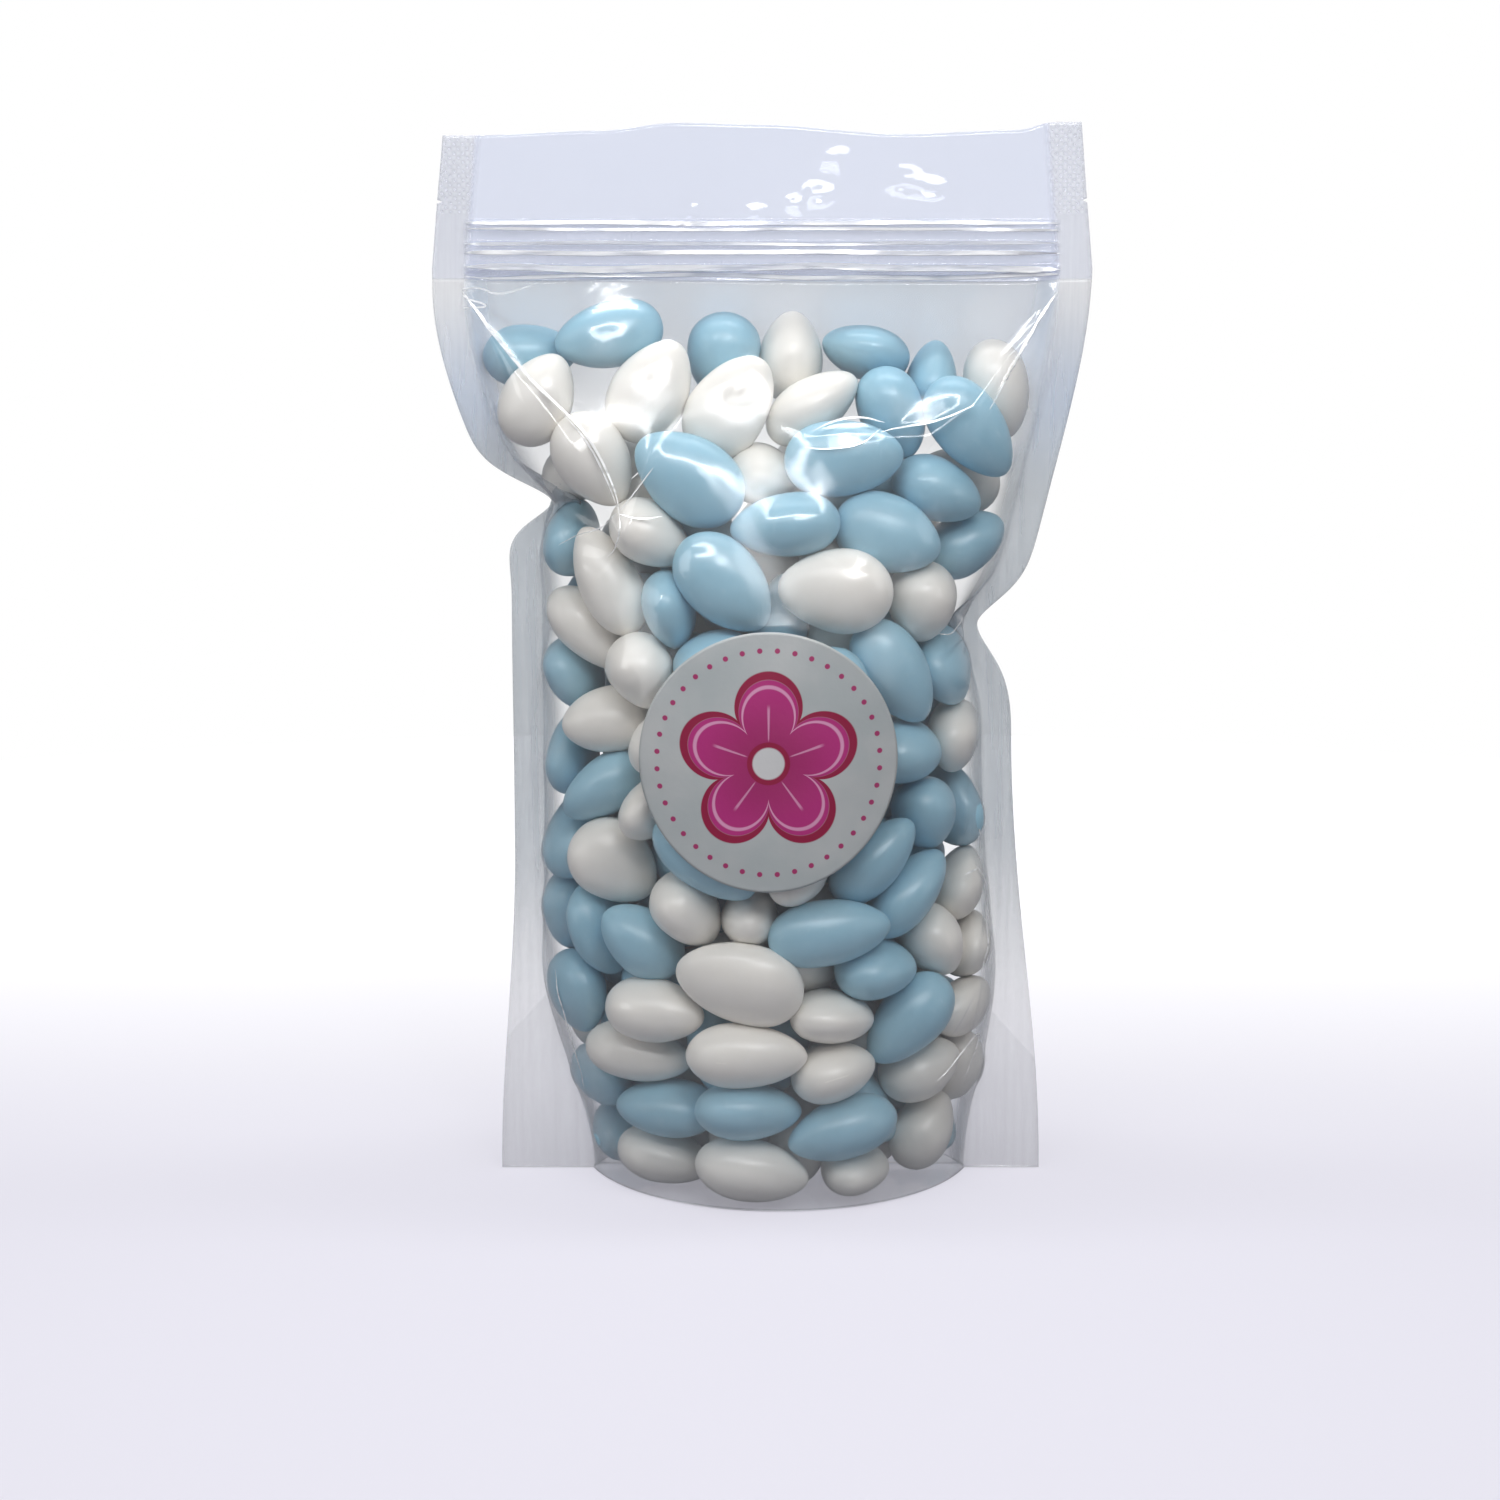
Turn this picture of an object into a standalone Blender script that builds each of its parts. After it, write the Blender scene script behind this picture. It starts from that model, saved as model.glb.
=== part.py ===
"""A clear stand-up pouch of sugared almonds: one filled bag with a press-to-close zip, and a round sticker.

Units are metres and +Z is up. The origin is on the floor under the middle of the pouch, and its front faces -Y.
The film follows the almonds that it holds, so the pouch is one solid whose faces carry their bumps.
"""

import math

import bmesh
import bpy
import numpy as np

# Pouch, as it was cut and welded
POUCH_WIDTH = 0.165  # across the flat film at the zip
POUCH_HEIGHT = 0.268  # standing, filled
SIDE_SEAL = 0.0075  # welded strip down each side
CORNER_LEFT, CORNER_RIGHT = 0.0165, 0.0120  # how much wider the weld is at the floor, where it holds the bottom panel
CORNER_HEIGHT = 0.060  # the weld is back to its plain width here
SEAL_THICKNESS = 0.0010  # the two films and the weld, as a solid
HEADER_THICKNESS = 0.0012  # the two films above the zip
HEADER_TAPER = 0.0033  # how far each top corner draws in as the mouth bows

# Pouch, as it stands filled
FOOT_LEFT, FOOT_RIGHT = 0.0680, 0.0727  # half widths at the floor
WAIST_LEFT, WAIST_RIGHT = 0.0636, 0.0640  # half widths where the body is narrowest
FLARE_LEFT, FLARE_RIGHT = 0.085, 0.115  # heights from which each side widens down to its foot
SHOULDER_LEFT = (0.150, 0.228)  # heights between which the side flares out to the zip
SHOULDER_RIGHT = (0.125, 0.235)
PINCH_LEFT = (0.175, 0.0150, 0.0070, 0.0070)  # height, depth, reach below and reach above
PINCH_RIGHT = (0.144, 0.0106, 0.0110, 0.0085)
PINCH_POWER = 1.7  # the higher, the flatter the bottom of a pinch
PINCH_FADE = 8  # the higher, the nearer to the side seal a pinch ends
BELLY_HEIGHT = 0.070
BELLY_FRONT, BELLY_BACK = 0.0405, 0.0412  # half depths at the belly
ARC = 1.22  # radians that half of a body section turns through
CREASE_TOP, CREASE_FOOT = 0.075, 0.036  # distance of the shoulder crease from the middle, at its two ends
CREASE_HEIGHTS = (0.165, 0.230)
CREASE_END = 0.94  # the share of that run at which the crease stops moving outwards
CREASE_MARGIN = 0.006  # a crease keeps this far inside the side seal
CREASE_SOFTNESS = 9.0  # the higher, the sharper the fold
FLAT_HEIGHTS = (0.165, 0.215)  # between them the section turns from an arc into a flat front with creases
MOUTH = (  # the wavy mouth: places across it, and how far above or below POUCH_HEIGHT it passes there
    (-0.071, -0.0023), (-0.041, -0.0012), (-0.021, 0.0007), (0.000, 0.0003),
    (0.035, -0.0020), (0.063, -0.0010), (0.073, 0.0010),
)
WAVE_FOOT = 0.245  # the mouth's waves fade out down to here

# Zip
ZIP_HEIGHT = 0.2330  # weld line under the zip, where the pouch closes
ZIP_RIBS = ((0.2332, 0.0008), (0.2380, 0.0013), (0.2436, 0.0011))  # height and how far each stands out
ZIP_RIB_HALF = 0.0011
ZIP_FLAT = 0.93  # the ribs are crushed flat from this share of the half width outwards

# Sugared almonds under the film
ALMOND_LENGTH, ALMOND_WIDTH, ALMOND_THICKNESS = 0.0275, 0.0182, 0.0148
BUMP = 0.0036  # how far an almond stands out of the film between its neighbours
ALMOND_TOP = 0.216  # the fill reaches this height
FIRST_ROW = 0.012  # height of the lowest row
ROW_PITCH, COLUMN_PITCH = 0.0158, 0.0245
ROW_COUNT, COLUMN_COUNT = 13, 5  # every other row has one more
PLACE_JITTER, TILT_JITTER = 0.0013, 0.38
SIZE_RANGE = (0.90, 1.08)
FRONT_SEED, BACK_SEED = 4, 9
BUMP_EDGE = 0.90  # the bumps fade out from this share of the half width outwards
BUMP_FOOT = (0.001, 0.012)  # between these heights they fade in
BUMP_HEAD = (ALMOND_TOP - 0.006, ALMOND_TOP + 0.008)  # and between these out again

# Round sticker
STICKER_RADIUS = 0.03175
STICKER_THICKNESS = 0.0004
STICKER_GAP = 0.0003
STICKER_CENTRE = (0.0015, 0.115)  # across and up
STICKER_STAND = 0.0028  # the sticker holds the film level, this far out, over the almonds behind it
STICKER_REACH = (0.002, 0.010)  # from its rim outwards, where that level ends

# Fineness
PANEL_COLUMNS = 38
BODY_ROWS = 56
RIB_ROWS = (-0.0014, -0.0006, 0.0006, 0.0014)  # rows of the mesh above and below a rib's middle
HEADER_ROWS = 4
STICKER_RINGS, STICKER_SPOKES = 6, 40
SLOPE_STEP = 1e-4  # distance over which the panel's slope is taken
SHARP_ANGLE = 50  # degrees: edges that turn more than this stay sharp

POUCH_COLOUR = (0.62, 0.75, 0.83, 1.0)
STICKER_COLOUR = (0.74, 0.76, 0.76, 1.0)


def smooth(value, low, high):
    """0 below low, 1 above high, and an S-curve between."""
    t = np.clip((value - low) / (high - low), 0.0, 1.0)
    return t * t * (3.0 - 2.0 * t)


def side(z, foot, flare, waist, shoulder):
    """Half width of the pouch at height z, less its pinch: it narrows to the waist and flares to the zip."""
    width = waist + (foot - waist) * (1.0 - smooth(z, 0.0, flare))
    width = width + (POUCH_WIDTH / 2 - waist) * smooth(z, *shoulder)
    return width - HEADER_TAPER * np.clip((z - ZIP_HEIGHT) / (POUCH_HEIGHT - ZIP_HEIGHT), 0.0, 1.0)


def seal(z, corner):
    """Width of a side seal at height z: the plain strip, and a wider weld at the bottom corner."""
    return SIDE_SEAL + corner * (1.0 - smooth(z, 0.0, CORNER_HEIGHT))


def pinch(z, height, depth, below, above):
    """How far a side seal is drawn in at height z, where the filled side has buckled."""
    reach = np.where(z < height, below, above)
    return depth * np.exp(-np.abs((z - height) / reach) ** PINCH_POWER)


def edges(z):
    """x of the left and right edges of the pouch at height z, as if neither was pinched."""
    left = -side(z, FOOT_LEFT, FLARE_LEFT, WAIST_LEFT, SHOULDER_LEFT)
    right = side(z, FOOT_RIGHT, FLARE_RIGHT, WAIST_RIGHT, SHOULDER_RIGHT)
    return left, right


def inner_lines(z):
    """x of the inner lines of the left and right seals at height z, as if neither was pinched."""
    left, right = edges(z)
    return left + seal(z, CORNER_LEFT), right - seal(z, CORNER_RIGHT)


def half_depth(z, belly):
    """Depth of a panel's middle: fullest at the belly, closed at the zip and a flat pair of films above it."""
    rise = np.clip(np.abs(z - BELLY_HEIGHT) / (ZIP_HEIGHT - BELLY_HEIGHT), 0.0, 1.0)
    return belly * (1.0 - rise**3)


def section(s, z):
    """Share of the half depth at s, from -1 to 1 across a panel: an arc low down, and a flat front
    between two creases at the shoulders."""
    arc = (np.cos(ARC * s) - math.cos(ARC)) / (1.0 - math.cos(ARC))
    left, right = inner_lines(z)
    x = across(s, z)
    inner = np.where(x < 0.0, -left, right)
    rise = np.clip((z - CREASE_HEIGHTS[0]) / (CREASE_HEIGHTS[1] - CREASE_HEIGHTS[0]), 0.0, CREASE_END)
    crease = np.minimum(CREASE_FOOT + (CREASE_TOP - CREASE_FOOT) * rise, inner - CREASE_MARGIN)
    slope = (inner - np.abs(x)) / (inner - crease)
    rounding = np.logaddexp(0.0, (1.0 - slope) * CREASE_SOFTNESS) - math.log(2.0) * np.clip(slope, 0.0, 1.0)
    flat = np.clip(1.0 - rounding / CREASE_SOFTNESS, 0.0, 1.0)
    share = smooth(z, *FLAT_HEIGHTS)
    return arc * (1.0 - share) + flat * share


def across(s, z):
    """x at s across a panel, between the inner lines of the two side seals."""
    left, right = inner_lines(z)
    x = (left + right) / 2 + (right - left) / 2 * np.sin(ARC * s) / math.sin(ARC)
    drawn_in = np.where(s < 0.0, pinch(z, *PINCH_LEFT), -pinch(z, *PINCH_RIGHT))
    return x + drawn_in * np.abs(s) ** PINCH_FADE


def top_wave(x):
    """How far above or below POUCH_HEIGHT the mouth passes at x: an S-curve from each place of it to the next."""
    rise = MOUTH[0][1]
    for (start, low), (end, high) in zip(MOUTH, MOUTH[1:]):
        rise = rise + (high - low) * smooth(x, start, end)
    return rise


def zip_relief(z):
    """How far the ribs of the zip stand out of the header at height z."""
    relief = 0.0
    for height, out in ZIP_RIBS:
        relief = relief + out * np.exp(-(((z - height) / ZIP_RIB_HALF) ** 4))
    return relief


def almond_places(seed):
    """Centre, tilt and size of each almond under a panel: rows across the panel, every other row shifted."""
    draw = np.random.default_rng(seed)
    places = []
    for row in range(ROW_COUNT):
        columns = COLUMN_COUNT + row % 2
        for column in range(columns):
            a = (column - (columns - 1) / 2) * COLUMN_PITCH + draw.normal(0.0, PLACE_JITTER)
            z = FIRST_ROW + row * ROW_PITCH + draw.normal(0.0, PLACE_JITTER)
            places.append((a, z, draw.normal(0.0, TILT_JITTER), draw.uniform(*SIZE_RANGE)))
    return places


def almond_relief(a, z, places):
    """How far the film stands out at a along the panel's arc and height z: the tops of the ellipsoids under it."""
    relief = np.zeros_like(z)
    for centre_a, centre_z, tilt, size in places:
        along = (a - centre_a) * math.cos(tilt) + (z - centre_z) * math.sin(tilt)
        beside = (z - centre_z) * math.cos(tilt) - (a - centre_a) * math.sin(tilt)
        reach = (along / (ALMOND_LENGTH / 2)) ** 2 + (beside / (ALMOND_WIDTH / 2)) ** 2
        top = size * ALMOND_THICKNESS / 2 * np.sqrt(np.clip(1.0 - reach / size**2, 0.0, None))
        relief = np.maximum(relief, top - (ALMOND_THICKNESS / 2 - BUMP))
    return relief


def panel(belly, facing, seed, s, z):
    """Grid of points of one panel, at each s across and z up. facing is -1 for the front and 1 for the back."""
    s, z = np.meshgrid(s, z)
    x = across(s, z)
    y = facing * (half_depth(z, belly) * section(s, z) + SEAL_THICKNESS / 2)
    points = np.stack([x, y, z], axis=-1)
    step = np.hypot(np.diff(x, axis=1), np.diff(y, axis=1))
    a = np.concatenate([np.zeros((len(z), 1)), np.cumsum(step, axis=1)], axis=1)
    a = a - a[:, [s.shape[1] // 2]]
    relief = almond_relief(a, z, almond_places(seed))
    relief = relief * (1.0 - smooth(np.abs(s), BUMP_EDGE, 1.0)) * smooth(z, *BUMP_FOOT)
    relief = relief * (1.0 - smooth(z, *BUMP_HEAD))
    if facing < 0:
        from_rim = np.hypot(x - STICKER_CENTRE[0], z - STICKER_CENTRE[1]) - STICKER_RADIUS
        away = smooth(from_rim, *STICKER_REACH)
        relief = relief * away + STICKER_STAND * (1.0 - away)
    normal = np.cross(np.gradient(points, axis=1), np.gradient(points, axis=0)) * -facing
    normal = normal / np.linalg.norm(normal, axis=-1, keepdims=True)
    points = points + normal * relief[..., None]
    ribs = zip_relief(z) + (HEADER_THICKNESS - SEAL_THICKNESS) / 2 * smooth(z, ZIP_HEIGHT, ZIP_HEIGHT + 0.002)
    points[..., 1] += facing * ribs * (1.0 - smooth(np.abs(s), ZIP_FLAT, 1.0))
    points[..., 2] += smooth(z, WAVE_FOOT, POUCH_HEIGHT) * top_wave(points[..., 0])
    return points


def row_heights():
    """Heights of the mesh's rows: even up the body, close together over the ribs of the zip."""
    body = np.linspace(0.0, ZIP_HEIGHT - 0.0035, BODY_ROWS)
    ribs = [height + step for height, _ in ZIP_RIBS for step in RIB_ROWS]
    header = np.linspace(ZIP_RIBS[-1][0] + 0.006, POUCH_HEIGHT, HEADER_ROWS)
    return np.concatenate([body, ribs, header])


def mesh_object(name, bm, colour, roughness):
    """An object of this mesh, smooth where it curves, with its own material."""
    mesh = bpy.data.meshes.new(name)
    bm.to_mesh(mesh)
    bm.free()
    mesh.shade_smooth()
    mesh.set_sharp_from_angle(angle=math.radians(SHARP_ANGLE))
    material = bpy.data.materials.new(name)
    material.use_nodes = True
    shader = material.node_tree.nodes["Principled BSDF"]
    shader.inputs["Base Color"].default_value = colour
    shader.inputs["Roughness"].default_value = roughness
    shader.inputs["Metallic"].default_value = 0.0
    mesh.materials.append(material)
    thing = bpy.data.objects.new(name, mesh)
    bpy.context.scene.collection.objects.link(thing)
    return thing


def loft(rings):
    """A closed solid through rings of equal counts of points, with a flat face at each end."""
    bm = bmesh.new()
    loops = [[bm.verts.new(point) for point in ring] for ring in rings]
    for low, high in zip(loops, loops[1:]):
        for i in range(len(low)):
            j = (i + 1) % len(low)
            bm.faces.new((low[i], low[j], high[j], high[i]))
    bm.faces.new(loops[0][::-1])
    bm.faces.new(loops[-1])
    bmesh.ops.recalc_face_normals(bm, faces=bm.faces)
    return bm


def build_pouch():
    """Front and back panels joined by the two side seals, ring by ring from the floor to the mouth."""
    z = row_heights()
    s = np.linspace(-1.0, 1.0, PANEL_COLUMNS + 1)
    front = panel(BELLY_FRONT, -1, FRONT_SEED, s, z)
    back = panel(BELLY_BACK, 1, BACK_SEED, s, z)
    left, right = across(-1.0, z) - seal(z, CORNER_LEFT), across(1.0, z) + seal(z, CORNER_RIGHT)
    lift = smooth(z, WAVE_FOOT, POUCH_HEIGHT)
    rings = []
    for row, height in enumerate(z):
        corners = []
        for x, facing in ((right[row], -1), (right[row], 1), (left[row], 1), (left[row], -1)):
            corners.append((x, facing * SEAL_THICKNESS / 2, height + lift[row] * top_wave(x)))
        ring = [*front[row], corners[0], corners[1], *back[row][::-1], corners[2], corners[3]]
        rings.append([tuple(float(value) for value in point) for point in ring])
    return mesh_object("pouch", loft(rings), POUCH_COLOUR, 0.25)


def front_y(x, z):
    """y of the front panel at x across and height z, without the almonds' bumps."""
    left, right = inner_lines(z)
    s = np.arcsin((x - (left + right) / 2) / ((right - left) / 2) * math.sin(ARC)) / ARC
    return -half_depth(z, BELLY_FRONT) * section(s, z) - SEAL_THICKNESS / 2


def build_sticker():
    """A round sticker bent to the front of the pouch: two discs of rings and spokes, joined at the rim."""
    spokes = np.linspace(0.0, 2.0 * math.pi, STICKER_SPOKES, endpoint=False)
    bm = bmesh.new()
    layers = []
    inside = STICKER_STAND + STICKER_GAP
    for out in (inside, inside + STICKER_THICKNESS):
        rings = []
        for radius in np.linspace(0.0, STICKER_RADIUS, STICKER_RINGS + 1)[1:]:
            x = STICKER_CENTRE[0] + radius * np.cos(spokes)
            z = STICKER_CENTRE[1] + radius * np.sin(spokes)
            slope = (front_y(x + SLOPE_STEP, z) - front_y(x - SLOPE_STEP, z)) / (2.0 * SLOPE_STEP)
            y = front_y(x, z) - out * np.hypot(1.0, slope)
            rings.append([bm.verts.new(map(float, point)) for point in zip(x, y, z)])
        x, z = STICKER_CENTRE
        hub = bm.verts.new((x, float(front_y(x, z)) - out, z))
        layers.append((hub, rings))
    for hub, rings in layers:
        for i in range(STICKER_SPOKES):
            j = (i + 1) % STICKER_SPOKES
            bm.faces.new((hub, rings[0][i], rings[0][j]))
            for inner, outer in zip(rings, rings[1:]):
                bm.faces.new((inner[i], outer[i], outer[j], inner[j]))
    rim_in, rim_out = layers[0][1][-1], layers[1][1][-1]
    for i in range(STICKER_SPOKES):
        j = (i + 1) % STICKER_SPOKES
        bm.faces.new((rim_in[i], rim_out[i], rim_out[j], rim_in[j]))
    bmesh.ops.recalc_face_normals(bm, faces=bm.faces)
    return mesh_object("sticker", bm, STICKER_COLOUR, 0.5)


for old in list(bpy.data.objects):
    bpy.data.objects.remove(old)
build_pouch()
build_sticker()
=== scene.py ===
"""Looks of a clear stand-up pouch of pale blue and white sugared almonds.

Units are metres, +Z is up and the front of the pouch faces -Y. The sections follow the pack from the inside
out: the almonds, the three panels of film, the zip, the ribs and creases, the sticker, and then the studio.
"""

import math

import bpy
import numpy as np
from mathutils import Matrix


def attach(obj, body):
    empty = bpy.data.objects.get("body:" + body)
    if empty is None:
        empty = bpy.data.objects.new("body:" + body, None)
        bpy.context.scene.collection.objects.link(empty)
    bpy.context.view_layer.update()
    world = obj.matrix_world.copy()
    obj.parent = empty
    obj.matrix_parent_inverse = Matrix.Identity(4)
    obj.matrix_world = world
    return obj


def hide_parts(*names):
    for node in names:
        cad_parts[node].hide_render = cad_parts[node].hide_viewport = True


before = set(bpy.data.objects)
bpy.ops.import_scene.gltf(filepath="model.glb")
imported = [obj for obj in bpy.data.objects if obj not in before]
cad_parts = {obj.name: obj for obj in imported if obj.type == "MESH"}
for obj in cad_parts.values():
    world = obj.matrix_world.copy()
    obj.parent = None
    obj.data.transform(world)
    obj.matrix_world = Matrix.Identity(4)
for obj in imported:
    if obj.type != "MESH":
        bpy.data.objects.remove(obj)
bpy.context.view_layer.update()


# Sugared almonds
# Whole almonds in a hard sugar coat that a turning pan builds up layer on layer, blue or white, with a satin
# polish. They were poured into the pouch and settled, so each touches its neighbours, and the front ones
# press on the film.

# The room inside the pouch, with the names and values of its solid
POUCH_WIDTH, POUCH_HEIGHT = 0.165, 0.268
SIDE_SEAL = 0.0075
CORNER_LEFT, CORNER_RIGHT, CORNER_HEIGHT = 0.0165, 0.0120, 0.060
HEADER_TAPER = 0.0033
FOOT_LEFT, FOOT_RIGHT = 0.0680, 0.0727
WAIST_LEFT, WAIST_RIGHT = 0.0636, 0.0640
FLARE_LEFT, FLARE_RIGHT = 0.085, 0.115
SHOULDER_LEFT, SHOULDER_RIGHT = (0.150, 0.228), (0.125, 0.235)
PINCH_LEFT, PINCH_RIGHT = (0.175, 0.0150, 0.0070, 0.0070), (0.144, 0.0106, 0.0110, 0.0085)
PINCH_FADE = 8
BELLY_HEIGHT = 0.070
BELLY_FRONT, BELLY_BACK = 0.0405, 0.0412
ARC = 1.22
CREASE_TOP, CREASE_FOOT = 0.075, 0.036
CREASE_HEIGHTS, FLAT_HEIGHTS = (0.165, 0.230), (0.165, 0.215)
CREASE_SOFTNESS = 9.0
ZIP_HEIGHT = 0.2330
STICKER_CENTRE, STICKER_RADIUS = (0.0015, 0.115), 0.03175
STICKER_STAND = 0.0028


def smooth(value, low, high):
    """0 below low, 1 above high, and the cubic 3t^2 - 2t^3 between."""
    t = np.clip((value - low) / (high - low), 0.0, 1.0)
    return t * t * (3.0 - 2.0 * t)


def side(z, foot, flare, waist, shoulder):
    """Half width of the pouch at height z: foot to waist and waist to zip by smooth steps, less the header's
    taper."""
    width = waist + (foot - waist) * (1.0 - smooth(z, 0.0, flare))
    width = width + (POUCH_WIDTH / 2 - waist) * smooth(z, *shoulder)
    return width - HEADER_TAPER * np.clip((z - ZIP_HEIGHT) / (POUCH_HEIGHT - ZIP_HEIGHT), 0.0, 1.0)


def seal(z, corner):
    """Width of a side seal: the plain strip, and a wider weld that fades out up to CORNER_HEIGHT."""
    return SIDE_SEAL + corner * (1.0 - smooth(z, 0.0, CORNER_HEIGHT))


def pinch(z, height, depth, below, above):
    """How far a seal is drawn in where the side has buckled: depth times exp(-(distance / reach)^1.7)."""
    return depth * np.exp(-np.abs((z - height) / np.where(z < height, below, above)) ** 1.7)


def edges(z):
    """x of the pouch's left and right edges at height z, unpinched."""
    left = side(z, FOOT_LEFT, FLARE_LEFT, WAIST_LEFT, SHOULDER_LEFT)
    return -left, side(z, FOOT_RIGHT, FLARE_RIGHT, WAIST_RIGHT, SHOULDER_RIGHT)


def inner_lines(z):
    """x of the inner lines of the two side seals at height z, unpinched."""
    left, right = edges(z)
    return left + seal(z, CORNER_LEFT), right - seal(z, CORNER_RIGHT)


def across(s, z):
    """x at s from -1 to 1 across a panel: the middle plus the half width times sin(ARC s) / sin(ARC), and the
    pinches, which fade as |s|^PINCH_FADE."""
    left, right = inner_lines(z)
    x = (left + right) / 2 + (right - left) / 2 * np.sin(ARC * s) / math.sin(ARC)
    return x + np.where(s < 0.0, pinch(z, *PINCH_LEFT), -pinch(z, *PINCH_RIGHT)) * np.abs(s) ** PINCH_FADE


def section(s, z):
    """Share of the half depth at s: the arc cos(ARC s) low down, and between two soft creases a flat front
    above."""
    arc = (np.cos(ARC * s) - math.cos(ARC)) / (1.0 - math.cos(ARC))
    left, right = inner_lines(z)
    x = across(s, z)
    inner = np.where(x < 0.0, -left, right)
    rise = np.clip((z - CREASE_HEIGHTS[0]) / (CREASE_HEIGHTS[1] - CREASE_HEIGHTS[0]), 0.0, 0.94)
    crease = np.minimum(CREASE_FOOT + (CREASE_TOP - CREASE_FOOT) * rise, inner - 0.006)
    slope = (inner - np.abs(x)) / (inner - crease)
    rounding = np.logaddexp(0.0, (1.0 - slope) * CREASE_SOFTNESS) - math.log(2.0) * np.clip(slope, 0.0, 1.0)
    flat = np.clip(1.0 - rounding / CREASE_SOFTNESS, 0.0, 1.0)
    share = smooth(z, *FLAT_HEIGHTS)
    return arc * (1.0 - share) + flat * share


def half_depth(z, belly):
    """Depth of a panel's middle: belly times 1 - rise^3, where rise goes from 0 at the belly to 1 at the
    zip."""
    rise = np.clip(np.abs(z - BELLY_HEIGHT) / (ZIP_HEIGHT - BELLY_HEIGHT), 0.0, 1.0)
    return belly * (1.0 - rise**3)


TABLE_STEP = 0.001
WALL_SLOPE = 2.0  # beyond the seals the room's depth falls below zero this steeply
table_x = np.arange(-0.084, 0.0845, TABLE_STEP)
table_z = np.arange(0.0, 0.2345, TABLE_STEP)


def room_table(belly):
    """Depth of the room in front of or behind the middle plane, at each table_z and table_x."""
    s = np.linspace(-1.0, 1.0, 241)
    rows = []
    for z in table_z:
        x = np.maximum.accumulate(across(s, z))
        depth = np.interp(table_x, x, half_depth(z, belly) * section(s, z))
        rows.append(depth - WALL_SLOPE * np.maximum(np.maximum(x[0] - table_x, table_x - x[-1]), 0.0))
    return np.array(rows)


def look_up(table, x, z):
    """The table's value at x and z and its slopes along x and z, weighted from the four nearest entries."""
    column = np.clip((x - table_x[0]) / TABLE_STEP, 0.0, len(table_x) - 1.001)
    row = np.clip((z - table_z[0]) / TABLE_STEP, 0.0, len(table_z) - 1.001)
    i, j = column.astype(int), row.astype(int)
    u, v = column - i, row - j
    low = table[j, i] * (1 - u) + table[j, i + 1] * u
    high = table[j + 1, i] * (1 - u) + table[j + 1, i + 1] * u
    below, above = table[j, i + 1] - table[j, i], table[j + 1, i + 1] - table[j + 1, i]
    return low * (1 - v) + high * v, (below * (1 - v) + above * v) / TABLE_STEP, (high - low) / TABLE_STEP


# Almonds that show through the front, measured in millimetres on the pack: x, z, tilt in degrees, length and
# width as they are seen, and how far each lies behind the film
FRONT_BLUE = (
    (-56.8, 212.6, 5, 24, 15.5, 4), (-39.8, 216.7, 192, 27.5, 16.5, 1), (-9.5, 211, 265, 22, 18.5, 4),
    (26.2, 210.5, 162, 22.5, 13.5, 3), (31.8, 198.3, -72, 24, 16.5, 4), (42.2, 205, 80, 20, 13, 8),
    (51.2, 193, -52, 29.5, 17.5, 0), (20.9, 187.6, 4, 29.5, 19, 0), (-18.7, 180.4, 147, 30, 20.5, 0),
    (5.1, 171.3, 185, 27.3, 15.7, 0), (44.7, 180, -22, 23.5, 15.5, 0), (31.6, 169, -33, 27.5, 19.5, 0),
    (51.8, 164.3, 30, 22, 15.5, 3), (-9.8, 157.2, -47, 29, 19.5, 0), (-24.4, 149.2, -80, 20, 13, 3),
    (-14, 138, 12, 20, 14, 2), (-48.8, 132, -35, 20, 13, 6), (-38, 104.5, 227, 25, 14.5, 0),
    (-49.5, 108, 80, 22, 12.5, 5), (-16.9, 88.3, -33, 30, 16.5, 0), (-50, 68.5, -75, 22, 14, 6),
    (-44, 68.5, -62, 25, 13, 3), (-32.2, 65, 132, 24, 16.5, 0), (16.9, 69.2, 10, 31, 17, 0),
    (30.1, 87.5, 48, 27.5, 14.5, 0), (45.3, 96.5, -80, 18.5, 16.5, 0), (40.3, 75, 65, 27.5, 14, 0),
    (41, 114, 0, 18.5, 16.5, 0), (33, 133, -50, 29, 17.5, 0), (47.7, 130.5, -70, 20.5, 13.5, 3),
    (52.4, 124, 60, 18, 13, 6), (27.3, 58, 3, 20.8, 15, 0), (-47.2, 50, -65, 22, 14, 3),
    (36.9, 45.3, 232, 27.8, 16.5, 0), (-4.2, 24.7, -15, 27, 14.5, 1), (-25.2, 21.2, 180, 26.5, 14.5, 0),
    (22.2, 17, 186, 29, 15.5, 0), (56, 104, 85, 22, 13, 8), (-53, 165, 70, 20, 13, 6),
)
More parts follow.
